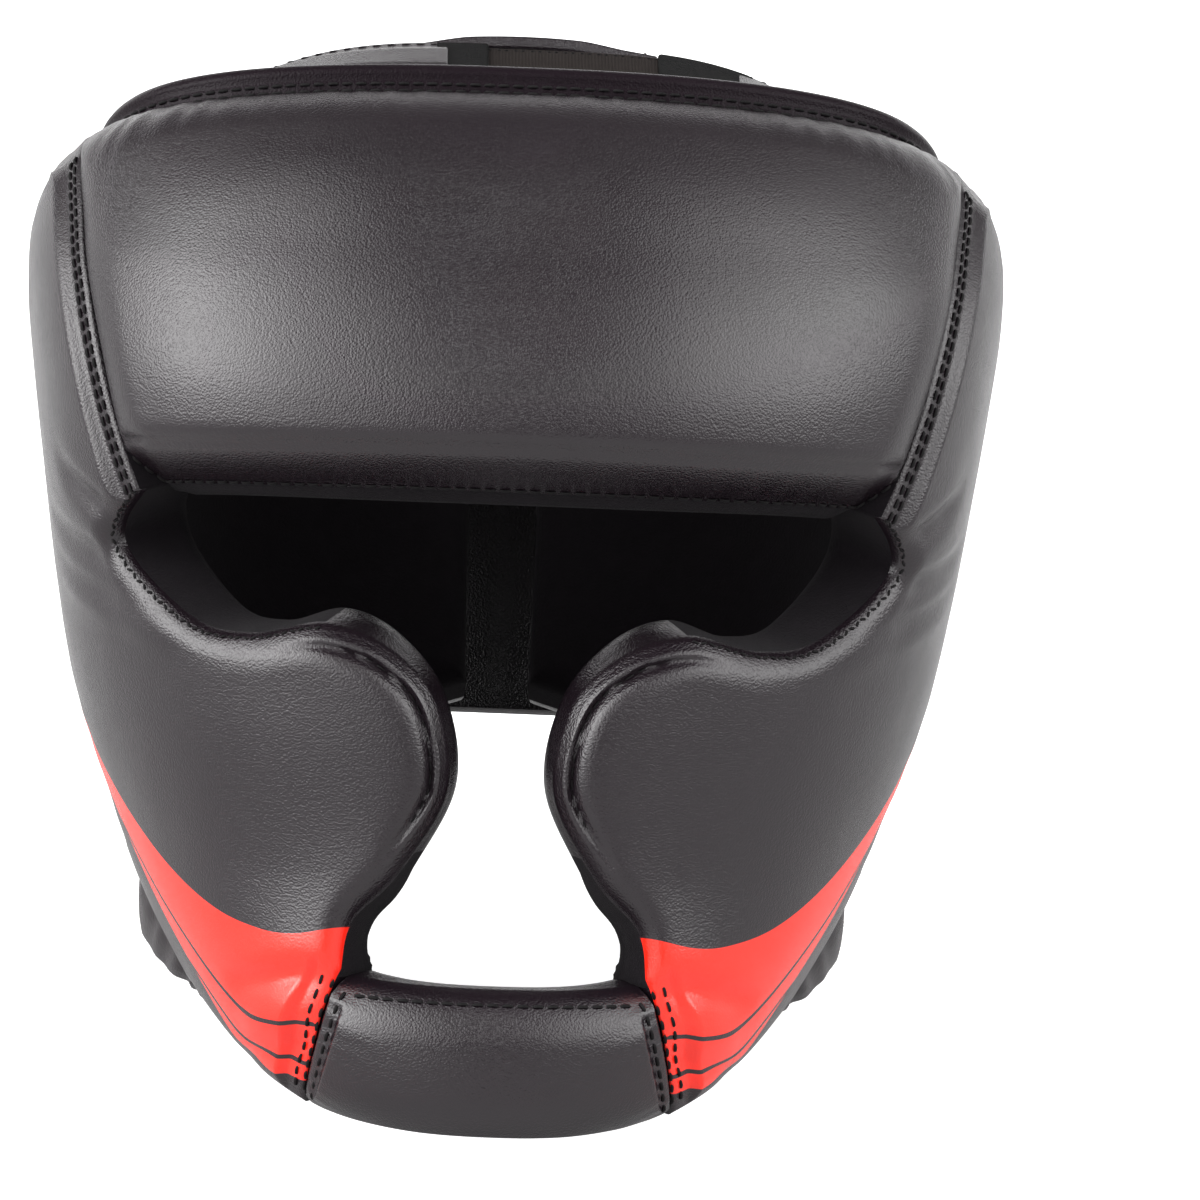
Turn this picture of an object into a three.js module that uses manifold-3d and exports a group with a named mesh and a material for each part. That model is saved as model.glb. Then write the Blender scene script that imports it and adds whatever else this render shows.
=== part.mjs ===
// Full-face sparring head guard: padded leather panels round an open head cavity, with a chin bar,
// ear openings, a bound crown rim, crown straps, a nape flap and a chin strap.
// Millimetres. The panels are drawn in the wearer's frame (x to the wearer's left, y from the face
// to the back of the head, z up), which then leans back as the guard does where it stands.
import * as THREE from "three";
import { mergeVertices } from "three/addons/utils/BufferGeometryUtils.js";
import Module from "manifold-3d";

const wasm = await Module();
wasm.setup();

// Driving dimensions
const LEAN_BACK_DEG = 10; // lean of the standing guard: it rests on the chin bar and the ear pads
const LIFT = 4.5; // height of the wearer's origin above the floor
const SHIFT_BACK = -133; // brings the middle of the box to y = 0
const FRONT_SQUARENESS = 2.4; // superellipse power of the level sections ahead of the ears
const BACK_SQUARENESS = 2.7; // and behind them
const SEAM_GAP = { brow: 0.65, chin: 0.4, ear: 0.3 }; // half of the gap between two sewn panels
const PAD = { forehead: 27, side: 24, cheek: 27, ear: 23, chin: 26 }; // padding thickness
const RIM_PLANE = { frontY: 55, frontZ: 236, fall: 0.457 }; // top edge of the panels, falling back
const RIM = { inset: 16, tall: 9, thick: 9, clear: 0.7 }; // bound band on the top edge
const EAR_HOLE = { y: 139, z: 80, halfLong: 42, halfShort: 25, tiltDeg: 47 };
const EAR_BINDING = { inset: 5.2, depth: 13.2, radius: 3.4 };
const EAR_STRAP = { wide: 27, depth: 5.8, thick: 3.2, endGap: 0.8 };
const LEATHER = 3.2; // thickness of the straps and flaps: two layers of leather
const EAR_PUFF = { rise: 6, reach: 20, turn: 2.5, height: 125 }; // roll of the ear pads, and where it fades
const CROWN = { top: 238.5, rise: 0.2, roundness: 3.5, endLift: 3, front: 93, back: 127, joint: 0.2, endGap: 5 };
const CROWN_JOINTS = [-18, -10, 33, 50]; // x of the joints of the strap over the crown
const REAR_FLAP = { half: 32, tabHalf: 28, sag: 0.0026 };
const REAR_LINE = [[128.5, 243], [142, 237.5], [158, 225.5], [180, 206], [199, 188.5], [218, 169.5]];
const REAR_JOINT = 0.62; // share of the rear strap that is leather flap
const NAPE_FLAP = { left: 48, right: 40, low: 74, high: 135, corner: 12, off: 0.6 };
const NAPE_EDGE_X = 8; // half of the opening between the two ear pads at the nape
const CHIN_STRAP = { half: 70, wide: 26, root: 64, middleY: -34, rootY: -8, thick: 3 };
const FLOOR_GAP = 0.3; // between the strap on the floor and the ear pads on it

// Outer leather of the guard at each height: half width, and y at the face, the ears and the nape
const SHELL = [
  { z: -28.5, half: 46, front: 17, mid: 95, back: 133 },
  { z: 0, half: 61, front: 5, mid: 106.5, back: 156 },
  { z: 19, half: 72, front: 2, mid: 114, back: 172 },
  { z: 38, half: 82.5, front: 5, mid: 121.5, back: 188 },
  { z: 57, half: 90.5, front: 8.5, mid: 125.5, back: 202.5 },
  { z: 85.5, half: 100.5, front: 8.5, mid: 123.5, back: 220.5 },
  { z: 114, half: 106.5, front: 7.5, mid: 119, back: 233 },
  { z: 142.5, half: 110.5, front: 0, mid: 114, back: 239.5 },
  { z: 163.5, half: 113, front: 0, mid: 112, back: 241.5 },
  { z: 180.5, half: 114.5, front: 5, mid: 112, back: 241.5 },
  { z: 196.5, half: 114, front: 13.5, mid: 113, back: 239.5 },
  { z: 218.5, half: 109, front: 30.5, mid: 118, back: 233.5 },
  { z: 236, half: 98, front: 55, mid: 123.5, back: 222.5 },
  { z: 248, half: 78, front: 83.5, mid: 129, back: 199.5 },
];

// Edge profiles: how far the outer and the lining leather turn in, and over what width
const SEAM = { outDrop: 4, outWidth: 9, inDrop: 0, inWidth: 1 };
const FREE_EDGE = { outDrop: 10, outWidth: 13, inDrop: 5, inWidth: 8 };
const BROW_EDGE = { outDrop: 13, outWidth: 10, inDrop: 5, inWidth: 9 };
const TOP_EDGE = { outDrop: 10, outWidth: 18, inDrop: 2, inWidth: 6 };

const rimHeight = (y) => RIM_PLANE.frontZ - RIM_PLANE.fall * (y - RIM_PLANE.frontY);
const rimNormal = new THREE.Vector3(0, RIM_PLANE.fall, 1).normalize();

// Outlines of the panels in the wearer's frame, on the wearer's left
const CHIN_SEAM = [
  { x: 44, z: -3 },
  { x: 42, z: 15 },
  { x: 37, z: 33 },
];
const FACE_EDGE = [
  { x: 37, z: 33 },
  { x: 38.5, z: 47 },
  { x: 26, z: 57 },
  { x: 12.5, z: 77 },
  { x: 15.5, z: 96 },
  { x: 27, z: 107.5 },
  { x: 43, z: 112 },
  { x: 60, z: 108.5 },
  { x: 75, z: 110.5 },
  { y: 47, z: 125.5 },
  { y: 34.5, z: 139 },
];
const BROW_SEAM = [
  { y: 34.5, z: 139 },
  { y: 40, z: 158 },
  { y: 50, z: 181 },
  { y: 67, z: 203 },
  { y: 88, z: rimHeight(88) },
];
const JAW_CORNER = { y: 80, z: 12.5 };
const NAPE_SEAM_TOP = { y: 197.5, z: rimHeight(197.5) };
const LOWER_EDGE = [
  JAW_CORNER,
  { y: 114, z: 13.5 },
  { y: 152, z: 22 },
  { x: 62, z: 42, nape: true },
  { x: 36, z: 62.5, nape: true },
  { x: NAPE_EDGE_X, z: 72, nape: true },
];

// Smooth value of one shell column at a height
function column(name, z) {
  const last = SHELL.length - 2;
  let i = 0;
  while (i < last && z > SHELL[i + 1].z) i += 1;
  const slope = (k) => {
    const a = SHELL[Math.max(k - 1, 0)];
    const b = SHELL[Math.min(k + 1, SHELL.length - 1)];
    return (b[name] - a[name]) / (b.z - a.z);
  };
  const step = SHELL[i + 1].z - SHELL[i].z;
  const t = (z - SHELL[i].z) / step;
  const blend = t * t * (3 - 2 * t);
  const rise = t * (1 - t) * (1 - t) * step * slope(i);
  const fall = t * t * (1 - t) * step * slope(i + 1);
  return SHELL[i][name] * (1 - blend) + SHELL[i + 1][name] * blend + rise - fall;
}

// Level section at a height, ahead of or behind the ears
function section(z, ahead) {
  const mid = column("mid", z);
  return {
    half: column("half", z),
    mid,
    reach: ahead ? mid - column("front", z) : column("back", z) - mid,
    power: ahead ? FRONT_SQUARENESS : BACK_SQUARENESS,
  };
}

// Point of the outer leather at a turn from the face (0) to the nape (PI) and a height
function shellPoint(turn, z) {
  const { half, mid, reach, power } = section(z, Math.cos(turn) >= 0);
  const sideways = Math.abs(Math.sin(turn)) / half;
  const lengthways = Math.abs(Math.cos(turn)) / reach;
  const radius = Math.pow(Math.pow(sideways, power) + Math.pow(lengthways, power), -1 / power);
  return new THREE.Vector3(radius * Math.sin(turn), mid - radius * Math.cos(turn), z);
}

function shellNormal(turn, z) {
  const d = 0.004;
  const round = shellPoint(turn + d, z).sub(shellPoint(turn - d, z));
  const up = shellPoint(turn, z + 0.4).sub(shellPoint(turn, z - 0.4));
  return round.cross(up).normalize();
}

// The turn of an outline point, given by its x on the face or nape, or by its y at the side
function turnOf({ x, y, z, nape }) {
  if (y !== undefined) {
    const { half, mid, reach, power } = section(z, y < column("mid", z));
    const share = Math.min(Math.abs(mid - y) / reach, 1);
    return Math.atan2(half * Math.pow(1 - Math.pow(share, power), 1 / power), mid - y);
  }
  const { half, reach, power } = section(z, !nape);
  const depth = reach * Math.pow(1 - Math.pow(Math.min(x / half, 1), power), 1 / power);
  return Math.atan2(x, nape ? -depth : depth);
}

// Height at which the panels' top plane meets the outer leather at a turn
function topHeight(turn) {
  let low = 110;
  let high = 245;
  for (let k = 0; k < 40; k += 1) {
    const z = (low + high) / 2;
    if (z < rimHeight(shellPoint(turn, z).y)) low = z;
    else high = z;
  }
  return low;
}

// Outward direction of the top edge at a turn, lying in the panels' top plane
function topOutward(turn) {
  const normal = shellNormal(turn, topHeight(turn));
  return normal.addScaledVector(rimNormal, -normal.dot(rimNormal)).normalize();
}

// Point of the ear hole's outline, by an angle from its rear top end over its upper side
function earHolePoint(angle, grow = 0) {
  const tilt = THREE.MathUtils.degToRad(EAR_HOLE.tiltDeg);
  const along = (EAR_HOLE.halfLong + grow) * Math.cos(angle);
  const across = (EAR_HOLE.halfShort + grow) * Math.sin(angle);
  return {
    y: EAR_HOLE.y + along * Math.cos(tilt) - across * Math.sin(tilt),
    z: EAR_HOLE.z + along * Math.sin(tilt) + across * Math.cos(tilt),
  };
}

const steps = (count, make) => Array.from({ length: count + 1 }, (_, k) => make(k / count));
const onShell = (p) => new THREE.Vector2(turnOf(p), p.z);
const smooth = (points) => new THREE.SplineCurve(points.map(onShell)).getPoints(20 * points.length);
const straight = (a, b) => steps(12, (t) => onShell(a).lerp(onShell(b), t));
const earArc = (from, to) => smooth(steps(10, (t) => earHolePoint(from + (to - from) * t)));
const topRun = (from, to) =>
  steps(24, (t) => {
    const turn = from + (to - from) * t;
    return new THREE.Vector2(turn, topHeight(turn));
  });

// A polyline in (turn, z), walked by its length on the leather from 0 to 1
class Edge {
  constructor(...runs) {
    this.points = runs.flatMap((run, k) => (k ? run.slice(1) : run));
    const solid = this.points.map((p) => shellPoint(p.x, p.y));
    const lengths = [0];
    solid.slice(1).forEach((p, k) => lengths.push(lengths[k] + p.distanceTo(solid[k])));
    this.shares = lengths.map((length) => length / lengths.at(-1));
    let last = 0;
    this.corners = runs.map((run) => {
      last += run.length - 1;
      return this.shares[last];
    });
  }

  at(share) {
    let k = 1;
    while (k < this.shares.length - 1 && this.shares[k] < share) k += 1;
    const t = (share - this.shares[k - 1]) / (this.shares[k] - this.shares[k - 1]);
    return this.points[k - 1].clone().lerp(this.points[k], t);
  }
}

// Smooth map of the unit square onto a four-sided panel: an elliptic grid that never folds.
// Returns place(u, v), with u from the front to the rear edge and v from the low to the high one.
function panelMap({ front, rear, low, high }, nu, nv) {
  const STRETCH = 100; // makes a turn comparable with a height
  const wide = (p) => [p.x * STRETCH, p.y];
  const frontLine = steps(nv, (v) => wide(front.at(v)));
  const rearLine = steps(nv, (v) => wide(rear.at(v)));
  const lowLine = steps(nu, (u) => wide(low.at(u)));
  const highLine = steps(nu, (u) => wide(high.at(u)));
  const blend = (u, v, c) => {
    const i = Math.round(u * nu);
    const j = Math.round(v * nv);
    const sides = (1 - u) * frontLine[j][c] + u * rearLine[j][c];
    const ends = (1 - v) * lowLine[i][c] + v * highLine[i][c];
    const nearCorners = (1 - u) * (1 - v) * frontLine[0][c] + (1 - u) * v * frontLine[nv][c];
    const farCorners = u * (1 - v) * rearLine[0][c] + u * v * rearLine[nv][c];
    return sides + ends - nearCorners - farCorners;
  };
  const grid = steps(nu, (u) => steps(nv, (v) => [0, 1].map((c) => blend(u, v, c))));
  for (let pass = 0; pass < 500; pass += 1) {
    for (let i = 1; i < nu; i += 1) {
      for (let j = 1; j < nv; j += 1) {
        const [west, east] = [grid[i - 1][j], grid[i + 1][j]];
        const [south, north] = [grid[i][j - 1], grid[i][j + 1]];
        const du = [0, 1].map((c) => ((east[c] - west[c]) * nu) / 2);
        const dv = [0, 1].map((c) => ((north[c] - south[c]) * nv) / 2);
        const alongU = (dv[0] ** 2 + dv[1] ** 2) * nu * nu;
        const alongV = (du[0] ** 2 + du[1] ** 2) * nv * nv;
        const skew = du[0] * dv[0] + du[1] * dv[1];
        grid[i][j] = [0, 1].map((c) => {
          const twistEast = grid[i + 1][j + 1][c] - grid[i + 1][j - 1][c];
          const twistWest = grid[i - 1][j + 1][c] - grid[i - 1][j - 1][c];
          const pull = alongU * (east[c] + west[c]) + alongV * (north[c] + south[c]);
          return (pull - (skew * (twistEast - twistWest) * nu * nv) / 2) / (2 * alongU + 2 * alongV);
        });
      }
    }
  }
  return (u, v) => {
    if (u === 0) return front.at(v);
    if (u === 1) return rear.at(v);
    if (v === 0) return low.at(u);
    if (v === 1) return high.at(u);
    const i = Math.min(Math.floor(u * nu), nu - 1);
    const j = Math.min(Math.floor(v * nv), nv - 1);
    const [s, t] = [u * nu - i, v * nv - j];
    const mix = (c) =>
      (grid[i][j][c] * (1 - s) + grid[i + 1][j][c] * s) * (1 - t) +
      (grid[i][j + 1][c] * (1 - s) + grid[i + 1][j + 1][c] * s) * t;
    return new THREE.Vector2(mix(0) / STRETCH, mix(1));
  };
}

// Grid positions from 0 to 1 that crowd towards both ends, where the edges turn in
const crowded = (count, pull = 0.6) =>
  steps(count, (t) => t - (pull * Math.sin(2 * Math.PI * t)) / (2 * Math.PI));

// Closed geometry of two point grids, the outer and the inner side, joined round their border
function closedShell(outer, inner) {
  const rows = outer.length;
  const columns = outer[0].length;
  const positions = [];
  [outer, inner].forEach((grid) => grid.flat().forEach((p) => positions.push(p.x, p.y, p.z)));
  const at = (side, i, j) => side * rows * columns + i * columns + j;
  const index = [];
  const quad = (a, b, c, d) => index.push(a, b, c, a, c, d);
  for (let i = 0; i + 1 < rows; i += 1) {
    for (let j = 0; j + 1 < columns; j += 1) {
      quad(at(0, i, j), at(0, i + 1, j), at(0, i + 1, j + 1), at(0, i, j + 1));
      quad(at(1, i, j), at(1, i, j + 1), at(1, i + 1, j + 1), at(1, i + 1, j));
    }
  }
  const border = [];
  for (let i = 0; i + 1 < rows; i += 1) border.push([i, 0]);
  for (let j = 0; j + 1 < columns; j += 1) border.push([rows - 1, j]);
  for (let i = rows - 1; i > 0; i -= 1) border.push([i, columns - 1]);
  for (let j = columns - 1; j > 0; j -= 1) border.push([0, j]);
  border.forEach(([i, j], k) => {
    const [m, n] = border[(k + 1) % border.length];
    quad(at(0, i, j), at(1, i, j), at(1, m, n), at(0, m, n));
  });
  return new THREE.BufferGeometry()
    .setAttribute("position", new THREE.Float32BufferAttribute(positions, 3))
    .setIndex(index);
}

// Closed ring through a loop of sections, each a loop of points
function closedRing(sections) {
  const round = sections.length;
  const sides = sections[0].length;
  const index = [];
  sections.forEach((_, i) => {
    for (let j = 0; j < sides; j += 1) {
      const [a, b] = [i * sides + j, i * sides + ((j + 1) % sides)];
      const next = ((i + 1) % round) * sides;
      const [c, d] = [next + ((j + 1) % sides), next + j];
      index.push(a, d, c, a, c, b);
    }
  });
  const positions = sections.flat().flatMap((p) => p.toArray());
  return new THREE.BufferGeometry()
    .setAttribute("position", new THREE.Float32BufferAttribute(positions, 3))
    .setIndex(index);
}

// Quarter-round turn-in of an edge: 1 on the edge, 0 at its width and beyond
function turnIn(distance, width) {
  const t = Math.max(0, 1 - distance / width);
  return 1 - Math.sqrt(1 - t * t);
}

// A padded panel: place(u, v) gives (turn, z), edge(side, t) the profile of a border point and
// puff(turn, z, distance) how far the leather swells at a distance from the border
function pad({ place, us, vs, thickness, edge, puff = () => 0 }) {
  const borderPoint = (side, t) => {
    const [u, v] = { front: [0, t], rear: [1, t], low: [t, 0], high: [t, 1] }[side];
    const { x, y } = place(u, v);
    return shellPoint(x, y);
  };
  const parts = 70;
  const border = ["front", "rear", "low", "high"].flatMap((side) =>
    Array.from({ length: parts }, (_, k) => ({
      line: new THREE.Line3(borderPoint(side, k / parts), borderPoint(side, (k + 1) / parts)),
      ...edge(side, (k + 0.5) / parts),
    })),
  );
  const foot = new THREE.Vector3();
  const distances = (point) =>
    border.map((b) => point.distanceTo(b.line.closestPointToPoint(point, true, foot)));
  const deepest = (away, drop, width) => Math.max(...border.map((b, k) => b[drop] * turnIn(away[k], b[width])));
  const outer = [];
  const inner = [];
  us.forEach((u) => {
    const points = vs.map((v) => {
      const { x: turn, y: z } = place(u, v);
      const point = shellPoint(turn, z);
      const normal = shellNormal(turn, z);
      const underTop = Math.max(0, 1 - Math.max(0, rimHeight(point.y) - z) / 40);
      normal.addScaledVector(rimNormal, -underTop * normal.dot(rimNormal)).normalize();
      const away = distances(point);
      const rise = puff(turn, z, Math.min(...away)) - deepest(away, "outDrop", "outWidth");
      const depth = thickness(turn, z) - deepest(away, "inDrop", "inWidth");
      return { point, normal, rise, depth };
    });
    const moved = (p, along) => p.point.clone().addScaledVector(p.normal, along);
    outer.push(points.map((p) => moved(p, p.rise)));
    inner.push(points.map((p) => moved(p, -p.depth)));
  });
  return closedShell(outer, inner);
}

// Moves the border of a panel off a seam by half of the seam's gap
function seamInset(points, shift) {
  return points.map((p) => new THREE.Vector2(p.x + shift / 0.75 / column("half", p.y), p.y));
}

function foreheadPad() {
  const seam = seamInset(smooth(BROW_SEAM), -SEAM_GAP.brow);
  const flipped = seam.map((p) => new THREE.Vector2(-p.x, p.y));
  const low = steps(24, (t) => seam[0].clone().setX((2 * t - 1) * seam[0].x));
  low.forEach((p, k) => {
    const across = (2 * k) / 24 - 1;
    p.y += 4 * (1 - across * across);
  });
  const high = topRun(-seam.at(-1).x, seam.at(-1).x);
  high[0].y = seam.at(-1).y;
  high[24].y = seam.at(-1).y;
  const sides = { front: new Edge(flipped), rear: new Edge(seam), low: new Edge(low), high: new Edge(high) };
  const edge = (side) => ({ front: SEAM, rear: SEAM, low: BROW_EDGE, high: TOP_EDGE })[side];
  const place = panelMap(sides, 32, 20);
  return pad({ place, us: crowded(20), vs: crowded(12), thickness: () => PAD.forehead, edge });
}

function sidePanel() {
  const chinSeam = seamInset(smooth(CHIN_SEAM), SEAM_GAP.chin);
  const face = smooth(FACE_EDGE);
  face[0].copy(chinSeam.at(-1));
  const brow = seamInset(smooth(BROW_SEAM), SEAM_GAP.brow);
  face.at(-1).copy(brow[0]);
  const jaw = seamInset(straight(JAW_CORNER, earHolePoint(Math.PI)), -SEAM_GAP.ear);
  const ear = earArc(Math.PI, 0);
  const nape = seamInset(straight(earHolePoint(0), NAPE_SEAM_TOP), -SEAM_GAP.ear);
  ear[0].copy(jaw.at(-1));
  ear.at(-1).copy(nape[0]);
  const top = topRun(brow.at(-1).x, nape.at(-1).x);
  top[0].copy(brow.at(-1));
  nape.at(-1).copy(top.at(-1));
  const sides = {
    front: new Edge(chinSeam, face),
    rear: new Edge(jaw, ear, nape),
    low: new Edge(steps(16, (t) => chinSeam[0].clone().lerp(jaw[0], t))),
    high: new Edge(brow, top),
  };
  const chinEnd = sides.front.corners[0];
  const [earStart, earEnd] = sides.rear.corners;
  const browEnd = sides.high.corners[0];
  const edge = (side, t) => {
    if (side === "front") return t < chinEnd ? SEAM : FREE_EDGE;
    if (side === "low") return FREE_EDGE;
    if (side === "high") return t < browEnd ? SEAM : TOP_EDGE;
    return t > earStart && t < earEnd ? FREE_EDGE : SEAM;
  };
  const thickness = (turn) => PAD.side + (PAD.cheek - PAD.side) * Math.max(0, 1 - turn / 0.7);
  const place = panelMap(sides, 24, 40);
  return pad({ place, us: crowded(16), vs: crowded(26), thickness, edge });
}

function earPad() {
  const jaw = seamInset(straight(JAW_CORNER, earHolePoint(Math.PI)), SEAM_GAP.ear);
  const ear = earArc(Math.PI, 2 * Math.PI);
  const nape = seamInset(straight(earHolePoint(0), NAPE_SEAM_TOP), SEAM_GAP.ear);
  ear[0].copy(jaw.at(-1));
  ear.at(-1).copy(nape[0]);
  const lower = smooth(LOWER_EDGE);
  lower[0].copy(jaw[0]);
  const napeTop = { x: NAPE_EDGE_X, z: 148, nape: true };
  const top = topRun(nape.at(-1).x, turnOf(napeTop));
  nape.at(-1).copy(top[0]);
  const sides = {
    front: new Edge(jaw),
    rear: new Edge(steps(12, (t) => lower.at(-1).clone().lerp(top.at(-1), t))),
    low: new Edge(lower),
    high: new Edge(ear, nape, top),
  };
  const [earEnd, napeEnd] = sides.high.corners;
  const edge = (side, t) => {
    if (side === "front") return SEAM;
    if (side === "low" || side === "rear") return FREE_EDGE;
    if (t < earEnd) return FREE_EDGE;
    return t < napeEnd ? SEAM : TOP_EDGE;
  };
  const { smoothstep } = THREE.MathUtils;
  const puff = (turn, z, distance) =>
    EAR_PUFF.rise *
    smoothstep(distance, 0, EAR_PUFF.reach) *
    smoothstep(EAR_PUFF.turn - turn, 0, 0.4) *
    smoothstep(EAR_PUFF.height - z, 0, 40);
  const place = panelMap(sides, 40, 20);
  return pad({ place, us: crowded(24, 0.3), vs: crowded(9), thickness: () => PAD.ear, edge, puff });
}

function chinBar() {
  const seam = seamInset(smooth(CHIN_SEAM), -SEAM_GAP.chin);
  const flipped = seam.map((p) => new THREE.Vector2(-p.x, p.y));
  const across = (p, t, bow) => new THREE.Vector2((2 * t - 1) * p.x, p.y + bow * (1 - (2 * t - 1) ** 2));
  const sides = {
    front: new Edge(flipped),
    rear: new Edge(seam),
    low: new Edge(steps(20, (t) => across(seam[0], t, -5))),
    high: new Edge(steps(20, (t) => across(seam.at(-1), t, 0))),
  };
  const edge = (side) => (side === "front" || side === "rear" ? SEAM : FREE_EDGE);
  const place = panelMap(sides, 24, 12);
  return pad({ place, us: crowded(16), vs: crowded(10), thickness: () => PAD.chin, edge });
}

// The bound band round the crown, on the panels' top edge
function crownRim() {
  const profile = new THREE.Shape();
  const [w, h, r] = [RIM.thick / 2, RIM.tall, 4];
  profile.moveTo(-w, 0);
  profile.lineTo(w, 0);
  profile.lineTo(w, h - r);
  profile.quadraticCurveTo(w, h, w - r, h);
  profile.lineTo(-w + r, h);
  profile.quadraticCurveTo(-w, h, -w, h - r);
  const loop = profile.getPoints(3).slice(0, -1);
  const rounds = Array.from({ length: 52 }, (_, k) => (2 * Math.PI * k) / 52);
  const sections = rounds.map((turn) => {
    const outward = topOutward(turn);
    const foot = shellPoint(turn, topHeight(turn)).addScaledVector(outward, -RIM.inset);
    return loop.map((p) =>
      foot
        .clone()
        .addScaledVector(outward, p.x)
        .addScaledVector(rimNormal, p.y + RIM.clear),
    );
  });
  return closedRing(sections);
}

// Point of the ear region at a depth under the outer leather
function earDepth(point, depth) {
  const turn = turnOf(point);
  return shellPoint(turn, point.z).addScaledVector(shellNormal(turn, point.z), -depth);
}

function earBinding() {
  const rounds = Array.from({ length: 30 }, (_, k) => (2 * Math.PI * k) / 30);
  const centre = rounds.map((a) => earDepth(earHolePoint(a, -EAR_BINDING.inset), EAR_BINDING.depth));
  const sections = centre.map((p, k) => {
    const ahead = centre[(k + 1) % 30].clone().sub(centre[(k + 29) % 30]).normalize();
    const out = earDepth(earHolePoint(rounds[k], -EAR_BINDING.inset), 0).sub(p).normalize();
    const aside = out.clone().cross(ahead).normalize();
    return Array.from({ length: 8 }, (_, j) => {
      const a = (2 * Math.PI * j) / 8;
      return p
        .clone()
        .addScaledVector(out, EAR_BINDING.radius * Math.cos(a))
        .addScaledVector(aside, EAR_BINDING.radius * Math.sin(a));
    });
  });
  return closedRing(sections);
}

function earStrap() {
  const half = EAR_STRAP.wide / 2;
  const end = (along) => {
    const share = along / EAR_HOLE.halfLong;
    return EAR_HOLE.halfShort * Math.sqrt(1 - share * share) - EAR_STRAP.endGap;
  };
  const tilt = THREE.MathUtils.degToRad(EAR_HOLE.tiltDeg);
  const place = (s, t, depth) => {
    const along = (2 * t - 1) * half;
    const across = (1 - 2 * s) * end(along);
    return earDepth(
      {
        y: EAR_HOLE.y + along * Math.cos(tilt) - across * Math.sin(tilt),
        z: EAR_HOLE.z + along * Math.sin(tilt) + across * Math.cos(tilt),
      },
      depth,
    );
  };
  const side = (depth) => steps(10, (s) => steps(4, (t) => place(s, t, depth)));
  return closedShell(side(EAR_STRAP.depth), side(EAR_STRAP.depth + EAR_STRAP.thick));
}

// Where the strap over the crown meets the inner side of the rim, at a y
function crownEnd(y) {
  const turn = turnOf({ y, z: rimHeight(y) });
  const inward = (RIM.inset + RIM.thick / 2) / topOutward(turn).x;
  return shellPoint(turn, rimHeight(y)).x - inward - CROWN.endGap;
}

// A piece of the strap over the crown, between two x; an end of the strap has none and meets the rim
function crownStrap(from, to, thick) {
  const middle = (CROWN.front + CROWN.back) / 2;
  const height = (x, y) => {
    const low = CROWN.top - LEATHER + CROWN.rise * (y - middle);
    const share = Math.abs(x / crownEnd(y));
    return low + (rimHeight(y) + CROWN.endLift - low) * Math.pow(share, CROWN.roundness);
  };
  const count = from === null || to === null ? 10 : 4;
  const side = (lift) =>
    steps(count, (s) =>
      steps(4, (t) => {
        const y = CROWN.front + (CROWN.back - CROWN.front) * t;
        const a = from === null ? -crownEnd(y) : from + CROWN.joint;
        const b = to === null ? crownEnd(y) : to - CROWN.joint;
        const x = a + (b - a) * s;
        const slopeX = (height(x + 0.1, y) - height(x - 0.1, y)) / 0.2;
        const slopeY = (height(x, y + 0.1) - height(x, y - 0.1)) / 0.2;
        const normal = new THREE.Vector3(-slopeX, -slopeY, 1).normalize();
        return new THREE.Vector3(x, y, height(x, y)).addScaledVector(normal, lift);
      }),
    );
  return closedShell(side(thick), side(0));
}

const rearLine = new THREE.SplineCurve(REAR_LINE.map(([y, z]) => new THREE.Vector2(y, z)));

// A piece of the strap from the crown down to the back of the rim, between two shares of its length
function rearStrap(from, to, half, thick) {
  const side = (lift) =>
    steps(6, (s) => {
      const x = (2 * s - 1) * half;
      return steps(8, (t) => {
        const share = from + (to - from) * t;
        const p = rearLine.getPointAt(share);
        const ahead = rearLine.getTangentAt(share);
        const drop = REAR_FLAP.sag * x * x;
        return new THREE.Vector3(x, p.x - ahead.y * lift, p.y + ahead.x * lift - drop);
      });
    });
  return closedShell(side(0), side(-thick));
}

function napeFlap() {
  const { left, right, low, high, corner, off } = NAPE_FLAP;
  const side = (lift) =>
    steps(12, (s) => {
      const x = left - (left + right) * s;
      const near = Math.max(0, corner - (x + right));
      const round = corner - Math.sqrt(Math.max(0, corner * corner - near * near));
      return steps(8, (t) => {
        const z = low + round + (high - low - 2 * round) * t;
        const turn = x < 0 ? 2 * Math.PI - turnOf({ x: -x, z, nape: true }) : turnOf({ x, z, nape: true });
        return shellPoint(turn, z).addScaledVector(shellNormal(turn, z), lift);
      });
    });
  return closedShell(side(off + LEATHER), side(off));
}

// The chin strap lies flat under the guard, a whole loop from one ear pad's foot to the other's
function chinStrap() {
  const { half, wide, root, middleY, rootY, thick } = CHIN_STRAP;
  const outline = new THREE.Shape();
  outline.moveTo(half, rootY - root / 2);
  outline.lineTo(half, rootY + root / 2);
  outline.lineTo(half - 16, rootY + root / 2);
  outline.bezierCurveTo(half - 32, rootY + root / 2, 36, middleY + wide / 2, 22, middleY + wide / 2);
  outline.lineTo(-22, middleY + wide / 2);
  outline.bezierCurveTo(-36, middleY + wide / 2, 32 - half, rootY + root / 2, 16 - half, rootY + root / 2);
  outline.lineTo(-half, rootY + root / 2);
  outline.lineTo(-half, rootY - root / 2);
  outline.lineTo(16 - half, rootY - root / 2);
  outline.bezierCurveTo(32 - half, rootY - root / 2, -36, middleY - wide / 2, -22, middleY - wide / 2);
  outline.lineTo(22, middleY - wide / 2);
  outline.bezierCurveTo(36, middleY - wide / 2, half - 32, rootY - root / 2, half - 16, rootY - root / 2);
  return new THREE.ExtrudeGeometry(outline, { depth: thick, bevelEnabled: false, curveSegments: 10 });
}

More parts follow.
